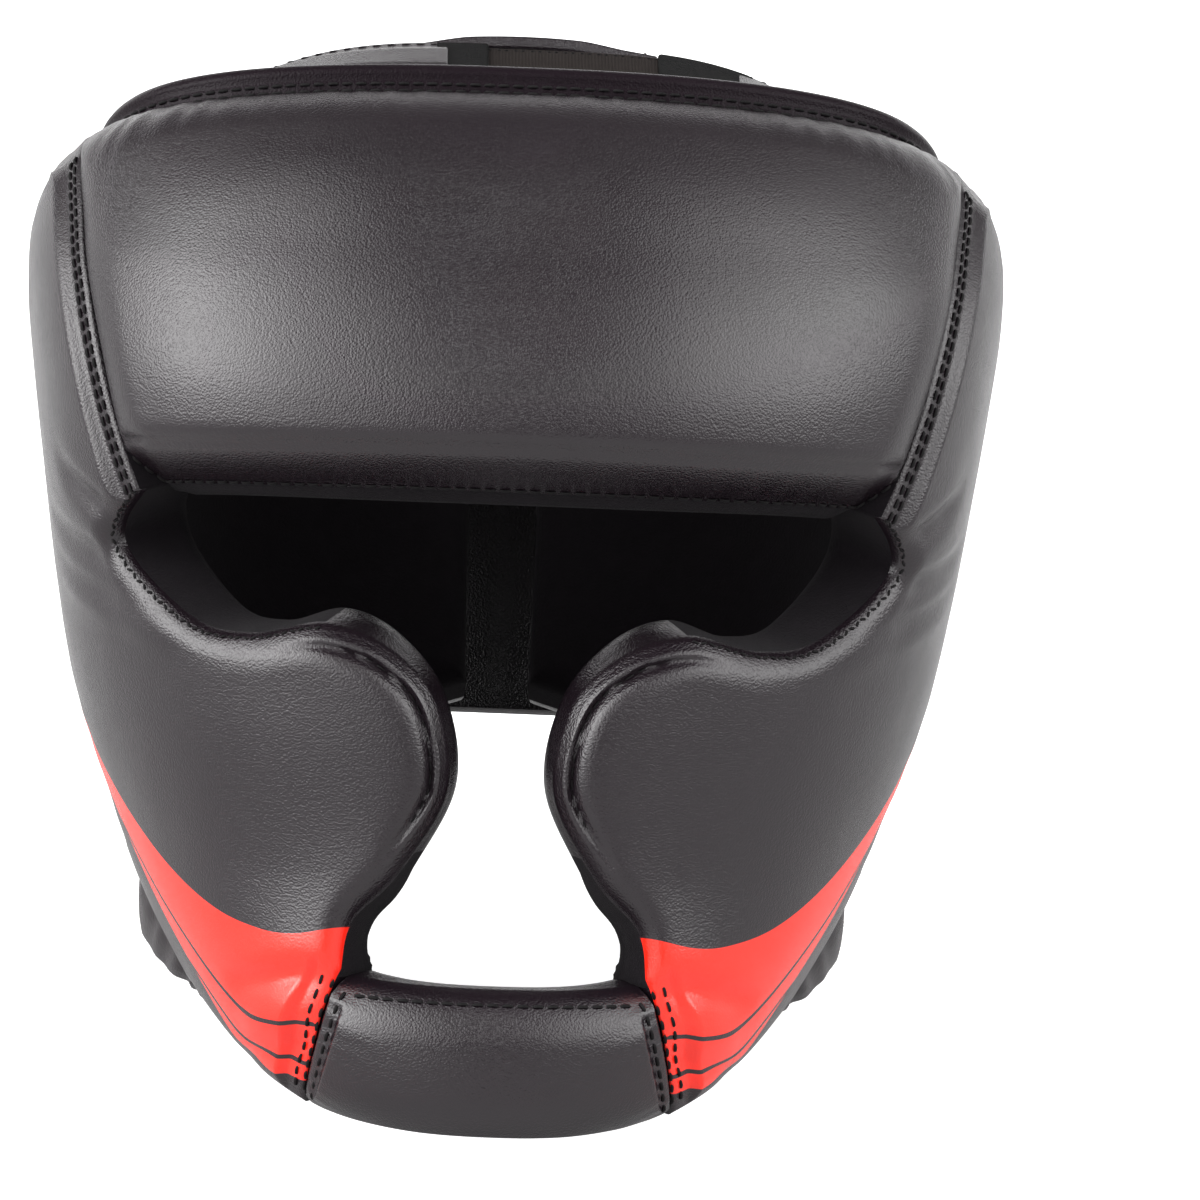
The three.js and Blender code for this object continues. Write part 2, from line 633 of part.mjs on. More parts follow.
// Standing frame: the wearer's frame leaned back on to the floor
const standing = new THREE.Matrix4()
  .makeTranslation(0, SHIFT_BACK, LIFT)
  .multiply(new THREE.Matrix4().makeRotationX(THREE.MathUtils.degToRad(-LEAN_BACK_DEG)));

// Solid of a closed geometry, and back
function solidOf(geometry) {
  const bare = new THREE.BufferGeometry().setAttribute("position", geometry.getAttribute("position"));
  if (geometry.index) bare.setIndex(geometry.index);
  const merged = mergeVertices(bare, 1e-4);
  const triVerts = new Uint32Array(merged.index.array);
  return new wasm.Manifold(
    new wasm.Mesh({ numProp: 3, vertProperties: merged.attributes.position.array, triVerts }),
  );
}

function geometryOf(solid) {
  const mesh = solid.getMesh();
  return new THREE.BufferGeometry()
    .setAttribute("position", new THREE.BufferAttribute(new Float32Array(mesh.vertProperties), 3))
    .setIndex(new THREE.BufferAttribute(new Uint32Array(mesh.triVerts), 1));
}

// Cuts a standing piece flat at a height, where it rests
function trimmed(geometry, height) {
  const below = new THREE.BoxGeometry(600, 600, 100).translate(0, 0, height - 50);
  return geometryOf(solidOf(geometry).subtract(solidOf(below)));
}

const leather = new THREE.MeshStandardMaterial({ color: 0x2b2829, roughness: 0.5 });
const red = new THREE.MeshStandardMaterial({ color: 0xb0122a, roughness: 0.35 });
const fabric = new THREE.MeshStandardMaterial({ color: 0x161516, roughness: 0.9 });
const webbing = new THREE.MeshStandardMaterial({ color: 0x7d756c, roughness: 0.85 });

const guard = new THREE.Group();

function add(name, geometry, material, mirrored = false) {
  geometry.computeVertexNormals();
  const mesh = new THREE.Mesh(geometry, material);
  mesh.name = name;
  if (mirrored) mesh.scale.x = -1;
  guard.add(mesh);
}

function addPair(name, geometry, material) {
  add(`${name}_left`, geometry, material);
  add(`${name}_right`, geometry.clone(), material, true);
}

const stand = (geometry) => geometry.applyMatrix4(standing);
const strapTop = CHIN_STRAP.thick + FLOOR_GAP;

add("forehead_pad", stand(foreheadPad()), leather);
addPair("side_panel", trimmed(stand(sidePanel()), 0), leather);
addPair("ear_pad", trimmed(stand(earPad()), strapTop), leather);
add("chin_bar", trimmed(stand(chinBar()), 0), leather);
addPair("ear_binding", stand(earBinding()), fabric);
addPair("ear_strap", stand(earStrap()), leather);
add("crown_rim", stand(crownRim()), leather);
const [j0, j1, j2, j3] = CROWN_JOINTS;
add("crown_flap_right", stand(crownStrap(null, j0, LEATHER)), leather);
add("crown_tab_right", stand(crownStrap(j0, j1, LEATHER)), fabric);
add("crown_elastic", stand(crownStrap(j1, j2, 2.2)), webbing);
add("crown_tab_left", stand(crownStrap(j2, j3, LEATHER)), fabric);
add("crown_flap_left", stand(crownStrap(j3, null, LEATHER)), leather);
add("crown_flap_rear", stand(rearStrap(0, REAR_JOINT, REAR_FLAP.half, LEATHER)), leather);
add("crown_tab_rear", stand(rearStrap(REAR_JOINT + 0.005, 1, REAR_FLAP.tabHalf, LEATHER)), fabric);
add("nape_flap", stand(napeFlap()), leather);
add("chin_strap", chinStrap(), fabric);

export default guard;
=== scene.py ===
import math

import bpy
import numpy as np
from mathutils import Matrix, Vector


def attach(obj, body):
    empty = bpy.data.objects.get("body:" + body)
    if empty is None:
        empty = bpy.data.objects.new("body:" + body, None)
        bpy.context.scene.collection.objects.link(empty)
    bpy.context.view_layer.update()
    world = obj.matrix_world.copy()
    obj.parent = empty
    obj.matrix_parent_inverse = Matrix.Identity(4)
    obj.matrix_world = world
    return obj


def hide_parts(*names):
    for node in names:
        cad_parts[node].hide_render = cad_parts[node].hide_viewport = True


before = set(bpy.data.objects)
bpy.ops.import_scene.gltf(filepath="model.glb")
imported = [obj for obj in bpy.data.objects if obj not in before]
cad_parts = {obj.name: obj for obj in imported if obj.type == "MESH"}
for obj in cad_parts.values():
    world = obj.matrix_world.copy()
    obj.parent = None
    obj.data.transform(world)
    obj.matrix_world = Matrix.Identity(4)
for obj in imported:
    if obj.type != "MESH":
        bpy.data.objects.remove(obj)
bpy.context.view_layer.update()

# Sizes are in millimetres, in the wearer's frame: x to the wearer's left, y from the face to the
# back of the head, z up. The frame's metres are reached when a mesh is made.
MM = 0.001
LEAN_BACK = math.radians(10)
LIFT = 4.5
SHIFT_BACK = -133
FRONT_SQUARENESS = 2.4
BACK_SQUARENESS = 2.7
PAD = {"forehead": 27, "side": 24, "cheek": 27, "ear": 23, "chin": 26}
CHEEK_TURN = 0.7
RIM_PLANE = {"front_y": 55, "front_z": 236, "fall": 0.457}
RIM = {"inset": 16, "half": 4.6, "tall": 9.4, "sunk": 1.2, "squareness": 2.6}
RIM_GROOVE = {"height": 4.9, "depth": 0.95, "width": 0.75, "step": 0.5, "step_width": 1.0}
RIM_RIPPLE = {"size": 0.35, "waves": 41, "drift": 1.3, "drift_waves": 13, "height": 4.0}
RIM_STITCH_ROWS = (1.6, 3.4)
EAR_HOLE = {"y": 139, "z": 80, "half_long": 42, "half_short": 25, "tilt": math.radians(47)}
EAR_BINDING = {"inset": 4.6, "depth": 13.2, "radius": 4.0, "tall": 1.5}
EAR_RUFFLE = {"size": 0.33, "waves": 34, "drift": 1.2, "drift_waves": 5, "fine": 0.18, "fine_waves": 61}
EAR_STRAP = {"half": 13.5, "depth": 5.8, "end_gap": 0.2, "backing_drop": 1.0, "backing_thick": 2.0}
EAR_BAND = {"half": 9.8, "lift": 0.6, "thick": 1.4, "wide": 21, "swell": 0.7, "flat": 1.5, "reach": 4}
LEATHER = 3.2
SHEET_EASE = 0.2
CROWN = {"top": 238.5, "rise": 0.2, "roundness": 3.5, "end_lift": 3, "front": 93, "back": 127, "end_gap": 4}
CROWN_JOINTS = {"right": -18, "webbing_right": -10, "webbing_left": 33, "left": 50}
TAPE = {"lap": 3, "over_webbing": 1.5, "narrow": 0.8, "lift": 3.5}
WEBBING = {"lap": 2, "narrow": 1.8, "lift": 2.4, "ribs": 40, "yarns": 60, "rib_rise": 0.13, "rib_points": 8}
SOFT_EDGE = {"width": 0.8, "segments": 3, "angle": 50}
SMOOTH_ANGLE = {"padding": 55, "ring": 60, "sheet": 50}
REAR_FLAP = {"half": 32, "tab_half": 28, "sag": 0.0026, "joint": 0.62, "overlap": 0.03, "tab_drop": 0.3}
REAR_LINE = ((128.5, 243), (142, 237.5), (158, 225.5), (180, 206), (199, 188.5), (218, 169.5))
NAPE_FLAP = {"left": 48, "right": 40, "low": 74, "high": 135, "corner": 12, "off": 0.6}
NAPE_SWELL = {"rise": 0.8, "high": 60, "long": 88}
NAPE_EDGE_X = 8
CHIN_STRAP = {"half": 70, "wide": 26, "root": 64, "middle_y": -34, "root_y": -8, "thick": 3, "corner": 20}
CHIN_STRAP_FLARE = {"start": 20, "reach": 38}
STRAP_TOP = 3.3
STRAP_SWELL = 0.9
SEWN_EDGE = {"flat": 3.5, "reach": 7}

# How far each panel's border stands off its seam, and the share of that which a slanting seam keeps
SEAM_GAP = {"brow": 0.2, "chin": 0.28, "ear": 0.22}
SEAM_SLANT = 0.75

# Outer leather at each height: half width, and y at the face, the ears and the nape
SHELL_COLUMNS = ("z", "half", "front", "mid", "back")
SHELL = np.array([
    (-28.5, 46, 17, 95, 133),
    (0, 61, 5, 106.5, 156),
    (19, 72, 2, 114, 172),
    (38, 82.5, 5, 121.5, 188),
    (57, 90.5, 8.5, 125.5, 202.5),
    (85.5, 100.5, 8.5, 123.5, 220.5),
    (114, 106.5, 7.5, 119, 233),
    (142.5, 110.5, 0, 114, 239.5),
    (163.5, 113, 0, 112, 241.5),
    (180.5, 114.5, 5, 112, 241.5),
    (196.5, 114, 13.5, 113, 239.5),
    (218.5, 109, 30.5, 118, 233.5),
    (236, 98, 55, 123.5, 222.5),
    (248, 78, 83.5, 129, 199.5),
], float)


def rim_height(y):
    return RIM_PLANE["front_z"] - RIM_PLANE["fall"] * (y - RIM_PLANE["front_y"])


# Outlines on the wearer's left: points named by x on the face or nape, or by y at the side
CHIN_SEAM = [{"x": 44, "z": -3}, {"x": 42, "z": 15}, {"x": 37, "z": 33}]
CHEEK_EDGE = [
    {"x": 37, "z": 33},
    {"x": 34.5, "z": 45.5},
    {"x": 23.5, "z": 56.5},
    {"x": 12.2, "z": 75.5},
    {"x": 15.5, "z": 96},
    {"x": 27, "z": 107.5},
    {"x": 43, "z": 112},
]
EYE_EDGE = [
    {"x": 60, "z": 108.5},
    {"x": 75, "z": 110.5},
    {"y": 47, "z": 125.5},
    {"y": 34.5, "z": 139},
]
BROW_SEAM = [
    {"y": 34.5, "z": 139},
    {"y": 40, "z": 158},
    {"y": 50, "z": 181},
    {"y": 67, "z": 203},
    {"y": 88, "z": rim_height(88)},
]
BROW_BOW = 4
CHIN_BOW = 5
JAW_CORNER = {"y": 80, "z": 12.5}
NAPE_SEAM_TOP = {"y": 197.5, "z": rim_height(197.5)}
NAPE_TOP = {"x": NAPE_EDGE_X, "z": 148, "nape": True}
LOWER_EDGE = [
    JAW_CORNER,
    {"y": 114, "z": 13.5},
    {"y": 152, "z": 22},
    {"x": 62, "z": 42, "nape": True},
    {"x": 36, "z": 62.5, "nape": True},
    {"x": NAPE_EDGE_X, "z": 72, "nape": True},
]

# The sweeping stripe on the side panels: its two edges and the pin lines in it, as (y, z)
STRIPE = {
    "stripe_top": ((9, 47), (13, 43.5), (18, 41.2), (25, 41.4), (38, 45), (62, 56), (86, 71.5),
                   (99.5, 87), (110, 102), (125, 130.5), (143.5, 168.8), (151, 196)),
    "stripe_low": ((23, 5), (34.4, 8.1), (42.6, 11.9), (50.2, 17.8), (58.6, 26.9), (74, 44.2), (84.5, 56.8),
                   (100.5, 75), (114.4, 91.4), (125, 105.9), (140.7, 133.3), (159.5, 165.4), (172, 186)),
    "pin_chin": ((16, 20.2), (31.2, 20.8), (42, 25.8), (64, 41.5), (84.5, 57), (96, 64)),
    "pin_jaw": ((20, 9.6), (31, 12), (41, 15.6), (50, 21.5), (58.5, 27.2), (68, 32)),
    "pin_ear": ((82, 70), (93.7, 82.8), (111.6, 100.4), (122.6, 113.5), (140.7, 133.3), (152, 143)),
    "pin_crown": ((98, 88), (110, 104.3), (128, 128.6), (148.5, 164.3), (158, 192)),
}
STRIPE_BLUR = 0.12
PIN_HALF = {"pin_chin": 0.6, "pin_jaw": 0.6, "pin_ear": 0.48, "pin_crown": 0.48}
PIN_BLUR = 0.1

# Edge profiles: how deep the outer leather turns in and over what width, whether it does so as a flat
# topstitched strip, as a lip or as a gusset beyond a seam, the same for the lining, and how far the
# wall between them bulges
PROFILE_FIELDS = ("drop", "width", "strip", "lip", "gusset", "in_drop", "in_width", "bulge")
PUFFED_SEAM = (4.2, 9, 0, 0, 0, 0, 1, 0.2)
TOPSTITCHED_SEAM = (2.4, 8.5, 1, 0, 0, 0, 1, 0.5)
ROLLED_EDGE = (10, 13, 0, 0, 0, 5, 8, 0)
EYE_ROLL = (5, 6, 0, 0, 0, 5, 8, 0)
MOUTH_CORNER = (5, 6, 0, 0, 0, 11, 16, 0.5)
LOBE_UNDERSIDE = (6, 6.5, 0, 0, 0, 6, 9, 1)
CHEEK_GUSSET = (7, 6, 0, 0, 1, 5, 8, 1.2)
CHIN_STRIP = (1.8, 6.2, 1, 0, 0, 0, 1, 0)
CHIN_ROLL = (11, 15, 0, 0, 0, 5, 8, 0.8)
BROW_LIP = (11, 12.5, 0, 1, 0, 5, 9, 4.2)
TOP_EDGE = (10, 18, 0, 0, 0, 2, 6, 0)
PROFILE_RAMP = 11.0
STRIP = {"flat": 0.62, "ditch": 0.8, "ditch_width": 1.4}
LIP = {"fold": 1.4, "face": 6, "slant": 1.2, "crease": 0.8, "crease_off": 0.4, "crease_width": 1.4}
GUSSET = {"seam": 4.6, "sunk": 1.7, "face": 9, "ditch": 1.4, "ridge": 0.7, "ridge_off": 1.8, "narrow": 0.9}
WALL_ROWS = 7
TOP_LEAN = 40

# Swells of the padding: their rise and its reach from the borders, the height where they start and over
# what height they grow (downwards where it is negative), and the turn where they end and fade
BROW_PUFF = {"rise": 3.0, "reach": 16, "height": 222, "grow": -60}
CHEEK_PUFF = {"rise": 2.0, "reach": 9, "height": 30, "grow": 75, "turn": 0.8, "fade": 0.45}
EAR_PUFF = {"rise": 6, "reach": 20, "height": 125, "grow": -40, "turn": 2.5, "fade": 0.4}
UNEVEN = {"size": 0.35, "waves": 7, "spread": 2.6, "shortest": 38, "longest": 80}
UNEVEN_EDGE = {"reach": 3, "least": 0.25}

# Pleats along gathered edges: pitch, depth and reach inwards
PLEATS = {
    "brow_top": (7.5, 0.55, 8),
    "brow_lip": (9, 0.5, 4),
    "panel_top": (8, 0.5, 8),
    "side_ear": (9, 0.5, 7),
    "ear_hole": (10, 0.9, 9),
    "jaw": (9, 1.1, 10),
    "chin": (4.4, 0.3, 6),
}
PLEAT_FADE = 6
GATHER_WANDER = ((0.9, 0.37), (0.6, 0.213))
GATHER_SWELL = (0.35, 0.153)
BROW_LIP_PLEATS = (130, 215)
TOP_PLEAT_START = 4

# Folds from the eye corner and from the top of the chin seam: start, end, depth and width
SIDE_FOLDS = (
    ({"y": 44, "z": 134}, {"y": 66, "z": 144}, 1.7, 3.6),
    ({"y": 49, "z": 122}, {"y": 82, "z": 129}, 2.0, 4.2),
    ({"y": 36, "z": 106}, {"y": 80, "z": 116}, -1.0, 4.6),
    ({"y": 50, "z": 113}, {"y": 84, "z": 121}, 1.1, 3.6),
    ({"x": 41, "z": 33}, {"x": 60, "z": 27}, 2.3, 3.4),
    ({"x": 42, "z": 24}, {"x": 57, "z": 18}, -1.2, 3.6),
    ({"x": 43, "z": 15}, {"x": 58, "z": 9}, 1.2, 3.2),
)
FOLD = {"lead": 0.15, "fade_in": 0.4, "fade_out": 0.6, "crease": 1.25, "swell": 0.5, "swell_width": 2.4}
SEEDS = {"forehead": 11, "side": 23, "ear": 37, "chin": 41}

# Steps and counts of the number work
SMALL_TURN = 0.004
SMALL_RISE = 0.4
SMALL_STEP = 0.1
TOP_SEARCH = (110.0, 245.0)
TOP_HALVINGS = 40
PATH_STEPS = 20
STRIPE_STEPS = 12
REAR_STEPS = 30
EAR_ARC = {"points": 25, "steps": 4}
STRAIGHT_STEPS = 40
TOP_STEPS = 60
BROW_STEPS = 120
CHIN_STEPS = 60
TURN_REACH = 100.0
RELAX_PASSES = (500, 250, 150)
RELAX_SHARE = 0.9
CROWDING = 0.6


# The shell of the guard
def shell_column(name, z):
    """A column of the shell's table at heights z, on a smooth curve through its rows."""
    heights = SHELL[:, 0]
    values = SHELL[:, SHELL_COLUMNS.index(name)]
    last = len(heights) - 1
    row = np.arange(last + 1)
    before = np.maximum(row - 1, 0)
    after = np.minimum(row + 1, last)
    slopes = (values[after] - values[before]) / (heights[after] - heights[before])
    i = np.clip(np.searchsorted(heights, z) - 1, 0, last - 1)
    step = heights[i + 1] - heights[i]
    t = (z - heights[i]) / step
    blend = t * t * (3 - 2 * t)
    rise = t * (1 - t) ** 2 * step * slopes[i]
    fall = t * t * (1 - t) * step * slopes[i + 1]
    return values[i] * (1 - blend) + values[i + 1] * blend + rise - fall


def section(z, ahead):
    mid = shell_column("mid", z)
    reach = np.where(ahead, mid - shell_column("front", z), shell_column("back", z) - mid)
    power = np.where(ahead, FRONT_SQUARENESS, BACK_SQUARENESS)
    return shell_column("half", z), mid, reach, power


def shell_point(turn, z):
    """Point of the outer leather at a turn from the face (0) to the nape (pi) and a height."""
    turn = np.asarray(turn, float)
    z = np.asarray(z, float)
    half, mid, reach, power = section(z, np.cos(turn) >= 0)
    sideways = np.abs(np.sin(turn)) / half
    lengthways = np.abs(np.cos(turn)) / reach
    radius = (sideways**power + lengthways**power) ** (-1 / power)
    return np.stack([radius * np.sin(turn), mid - radius * np.cos(turn), z], axis=-1)


def unit(vectors):
    return vectors / np.maximum(np.linalg.norm(vectors, axis=-1, keepdims=True), 1e-9)


RIM_NORMAL = unit(np.array([0, RIM_PLANE["fall"], 1.0]))


def shell_slopes(turn, z):
    around = (shell_point(turn + SMALL_TURN, z) - shell_point(turn - SMALL_TURN, z)) / (2 * SMALL_TURN)
    upward = (shell_point(turn, z + SMALL_RISE) - shell_point(turn, z - SMALL_RISE)) / (2 * SMALL_RISE)
    return around, upward


def shell_normal(turn, z):
    around, upward = shell_slopes(turn, z)
    return unit(np.cross(around, upward))


def turn_of(point):
    """The turn of an outline point, given by its x on the face or nape, or by its y at the side."""
    z = point["z"]
    if "y" in point:
        half, mid, reach, power = section(z, point["y"] < shell_column("mid", z))
        share = min(abs(mid - point["y"]) / reach, 1)
        return math.atan2(half * (1 - share**power) ** (1 / power), mid - point["y"])
    nape = point.get("nape", False)
    half, mid, reach, power = section(z, not nape)
    depth = reach * (1 - min(point["x"] / half, 1) ** power) ** (1 / power)
    return math.atan2(point["x"], -depth if nape else depth)


def top_height(turn):
    """Height at which the panels' top plane meets the outer leather at a turn."""
    turn = np.asarray(turn, float)
    low, high = (np.full(turn.shape, limit) for limit in TOP_SEARCH)
    for _ in range(TOP_HALVINGS):
        z = (low + high) / 2
        under = z < rim_height(shell_point(turn, z)[..., 1])
        low = np.where(under, z, low)
        high = np.where(under, high, z)
    return low


def top_outward(turn):
    normal = shell_normal(turn, top_height(turn))
    return unit(normal - (normal @ RIM_NORMAL)[..., None] * RIM_NORMAL)


def ear_place(along, across):
    """The y and z of a place given along and across the slanting ear opening."""
    c, s = math.cos(EAR_HOLE["tilt"]), math.sin(EAR_HOLE["tilt"])
    return EAR_HOLE["y"] + along * c - across * s, EAR_HOLE["z"] + along * s + across * c


def ear_outline(angle, grow=0.0):
    """The y and z on the ear opening's outline, or on one that is larger by grow."""
    along = (EAR_HOLE["half_long"] + grow) * np.cos(angle)
    across = (EAR_HOLE["half_short"] + grow) * np.sin(angle)
    return ear_place(along, across)


def ear_hole_point(angle):
    y, z = ear_outline(angle)
    return {"y": y, "z": z}


# Paths on the shell, as rows of (turn, z)
def on_shell(point):
    return np.array([turn_of(point), point["z"]])


def spline(points, per_step=PATH_STEPS):
    """Catmull-Rom curve through points."""
    points = np.asarray(points, float)
    last = len(points) - 1
    rows = []
    for i in range(last):
        p0, p1 = points[max(i - 1, 0)], points[i]
        p2, p3 = points[i + 1], points[min(i + 2, last)]
        v0, v1 = (p2 - p0) / 2, (p3 - p1) / 2
        for k in range(per_step):
            t = k / per_step
            cubic = 2 * p1 - 2 * p2 + v0 + v1
            square = -3 * p1 + 3 * p2 - 2 * v0 - v1
            rows.append(((cubic * t + square) * t + v0) * t + p1)
    rows.append(points[-1])
    return np.array(rows)


def smooth_path(points):
    return spline([on_shell(p) for p in points])


def between(a, b):
    t = np.linspace(0, 1, STRAIGHT_STEPS + 1)[:, None]
    return a * (1 - t) + b * t


def ear_arc(start, end):
    angles = np.linspace(start, end, EAR_ARC["points"])
    return spline([on_shell(ear_hole_point(a)) for a in angles], EAR_ARC["steps"])


def top_run(start, end, count=TOP_STEPS):
    turns = np.linspace(start, end, count + 1)
    return np.stack([turns, top_height(turns)], axis=-1)


def bowed(end, bow, count):
    """A path from the mirrored end to the end, bowed upwards in the middle."""
    t = np.linspace(-1, 1, count + 1)
    return np.stack([t * end[0], end[1] + bow * (1 - t * t)], axis=-1)


def seam_inset(path, shift):
    """Moves a panel's border off a seam by half of the seam's gap."""
    moved = path.copy()
    moved[:, 0] += shift / SEAM_SLANT / shell_column("half", path[:, 1])
    return moved


def flipped(path):
    return path * np.array([-1, 1])


def run_along(points):
    """Length along a line at each of its points."""
    return np.concatenate([[0], np.cumsum(np.linalg.norm(np.diff(points, axis=0), axis=1))])


def resampled(path, shares):
    """Points of a path at shares of its length on the leather."""
    run = run_along(shell_point(path[:, 0], path[:, 1]))
    places = np.asarray(shares) * run[-1]
    return np.stack([np.interp(places, run, path[:, c]) for c in (0, 1)], axis=-1)


CHIN_PATH = smooth_path(CHIN_SEAM)
FACE_PATH = smooth_path(CHEEK_EDGE + EYE_EDGE)
BROW_PATH = smooth_path(BROW_SEAM)
JAW_PATH = between(on_shell(JAW_CORNER), on_shell(ear_hole_point(math.pi)))
NAPE_PATH = between(on_shell(ear_hole_point(0)), on_shell(NAPE_SEAM_TOP))
MOUTH_END = PATH_STEPS
UNDERSIDE_END = 46
CHEEK_END = PATH_STEPS * (len(CHEEK_EDGE) - 1)


# Panel grids
def relax(grid, passes):
    """Smooths the inside of a grid of (turn, z) so that its cells never fold over."""
    nu, nv = grid.shape[0] - 1, grid.shape[1] - 1
    for _ in range(passes):
        east, west = grid[2:, 1:-1], grid[:-2, 1:-1]
        north, south = grid[1:-1, 2:], grid[1:-1, :-2]
        du = (east - west) * nu / 2
        dv = (north - south) * nv / 2
        along_u = (dv**2).sum(-1, keepdims=True) * nu * nu
        along_v = (du**2).sum(-1, keepdims=True) * nv * nv
        skew = (du * dv).sum(-1, keepdims=True)
        twist = (grid[2:, 2:] - grid[2:, :-2] - grid[:-2, 2:] + grid[:-2, :-2]) * nu * nv
        pull = along_u * (east + west) + along_v * (north + south)
        settled = (pull - skew * twist / 2) / (2 * along_u + 2 * along_v)
        grid[1:-1, 1:-1] += RELAX_SHARE * (settled - grid[1:-1, 1:-1])


def cubic_weights(count, places):
    """Weights that read a smooth value at each place from count + 1 evenly spaced values."""
    weights = np.zeros((len(places), count + 1))
    for row, place in enumerate(np.asarray(places) * count):
        i = min(int(place), count - 1)
        t = place - i
        factors = (
            -0.5 * t + t * t - 0.5 * t**3,
            1 - 2.5 * t * t + 1.5 * t**3,
            0.5 * t + 2 * t * t - 1.5 * t**3,
            -0.5 * t * t + 0.5 * t**3,
        )
        for k, factor in enumerate(factors):
            weights[row, min(max(i - 1 + k, 0), count)] += factor
    return weights


def crowded(count, pull=CROWDING, ahead=0.0):
    """Places from 0 to 1 that crowd towards both ends, where the edges turn in, and more so ahead."""
    t = np.linspace(0, 1, count + 1)
    t = t - pull * np.sin(2 * math.pi * t) / (2 * math.pi)
    return t * (1 - ahead * (1 - t) ** 3)


# Each panel's coarse cells, and the places of its points from front to rear and from low to high
PANEL_GRIDS = {
    "forehead": ((24, 16), crowded(140), crowded(84)),
    "side": ((24, 36), crowded(160, ahead=0.8), crowded(200)),
    "ear": ((40, 16), crowded(170, pull=0.35), crowded(72)),
    "chin": ((24, 12), crowded(110), crowded(70)),
}


def panel_grid(sides, coarse, us, vs):
    """Grid of (turn, z) over a four-sided panel, at places us from front to rear and vs from low to high."""
    stretch = np.array([TURN_REACH, 1.0])
    nu, nv = coarse
    grid = None
    for passes in RELAX_PASSES:
        u, v = np.linspace(0, 1, nu + 1), np.linspace(0, 1, nv + 1)
        front, rear = (resampled(sides[name].path, v) * stretch for name in ("front", "rear"))
        low, high = (resampled(sides[name].path, u) * stretch for name in ("low", "high"))
        if grid is None:
            a, b = u[:, None, None], v[None, :, None]
            ends = (1 - b) * low[:, None] + b * high[:, None]
            flanks = (1 - a) * front[None] + a * rear[None]
            near = (1 - a) * ((1 - b) * front[0] + b * front[-1])
            far = a * ((1 - b) * rear[0] + b * rear[-1])
            grid = ends + flanks - near - far
        else:
            across, along = cubic_weights(nu // 2, u), cubic_weights(nv // 2, v)
            grid = np.einsum("ia,abc,jb->ijc", across, grid, along)
        grid[0], grid[-1], grid[:, 0], grid[:, -1] = front, rear, low, high
        relax(grid, passes)
        nu, nv = nu * 2, nv * 2
    across, along = cubic_weights(nu // 2, us), cubic_weights(nv // 2, vs)
    grid = np.einsum("ia,abc,jb->ijc", across, grid, along) / stretch
    grid[0], grid[-1] = (resampled(sides[name].path, vs) for name in ("front", "rear"))
    grid[:, 0], grid[:, -1] = (resampled(sides[name].path, us) for name in ("low", "high"))
    return grid


# Edges of the panels
def nearest_on(line, points):
    """Distance from each point to a line of points, and how far along it the nearest place lies."""
    best = np.full(len(points), np.inf)
    along = np.zeros(len(points))
    run = 0.0
    for a, b in zip(line[:-1], line[1:]):
        step = b - a
        length = np.linalg.norm(step)
        if length < 1e-6:
            continue
        share = np.clip((points - a) @ step / length**2, 0, 1)
        distance = np.linalg.norm(points - a - share[:, None] * step, axis=1)
        closer = distance < best
        best[closer] = distance[closer]
        along[closer] = run + share[closer] * length
        run += length
    return best, along


def turn_in(distance, width):
    """Quarter-round turn-in of an edge: 1 on the edge, 0 at its width and beyond."""
    t = np.clip(1 - distance / width, 0, 1)
    return 1 - np.sqrt(np.maximum(1 - t * t, 0))


def ease(t):
    t = np.clip(t, 0, 1)
    return t * t * (3 - 2 * t)


def bell(off, width):
    return np.exp(-((off / width) ** 2))


def strip_depth(distance, drop, width):
    """A seam allowance sewn flat beside the seam, before the padding rises."""
    ditch = STRIP["ditch"] * turn_in(distance, STRIP["ditch_width"])
    flat = STRIP["flat"] * width
    return (drop + ditch) * (1 - ease((distance - flat) / (width - flat)))


def lip_depth(distance, drop, width):
    """A rolled lip under a fold: the face bends at the fold and the lip slants back to the edge."""
    face = LIP["fold"] * turn_in(distance - width, LIP["face"])
    slant = LIP["fold"] + (drop - LIP["fold"]) * (1 - np.clip(distance / width, 0, 1)) ** LIP["slant"]
    crease = LIP["crease"] * bell(distance - width - LIP["crease_off"], LIP["crease_width"])
    return np.where(distance > width, face, slant) + crease


def gusset_depth(distance, drop):
    """A stitched ditch along the seam, a piped ridge beyond it and the gusset rolling over to the edge."""
    off = distance - GUSSET["seam"]
    face = GUSSET["sunk"] * turn_in(off, GUSSET["face"])
    roll = GUSSET["sunk"] + (drop - GUSSET["sunk"]) * turn_in(distance, GUSSET["seam"])
    ditch = GUSSET["ditch"] * bell(off, GUSSET["narrow"])
    ridge = GUSSET["ridge"] * bell(off + GUSSET["ridge_off"], GUSSET["narrow"])
    return np.where(off > 0, face, roll) + ditch - ridge


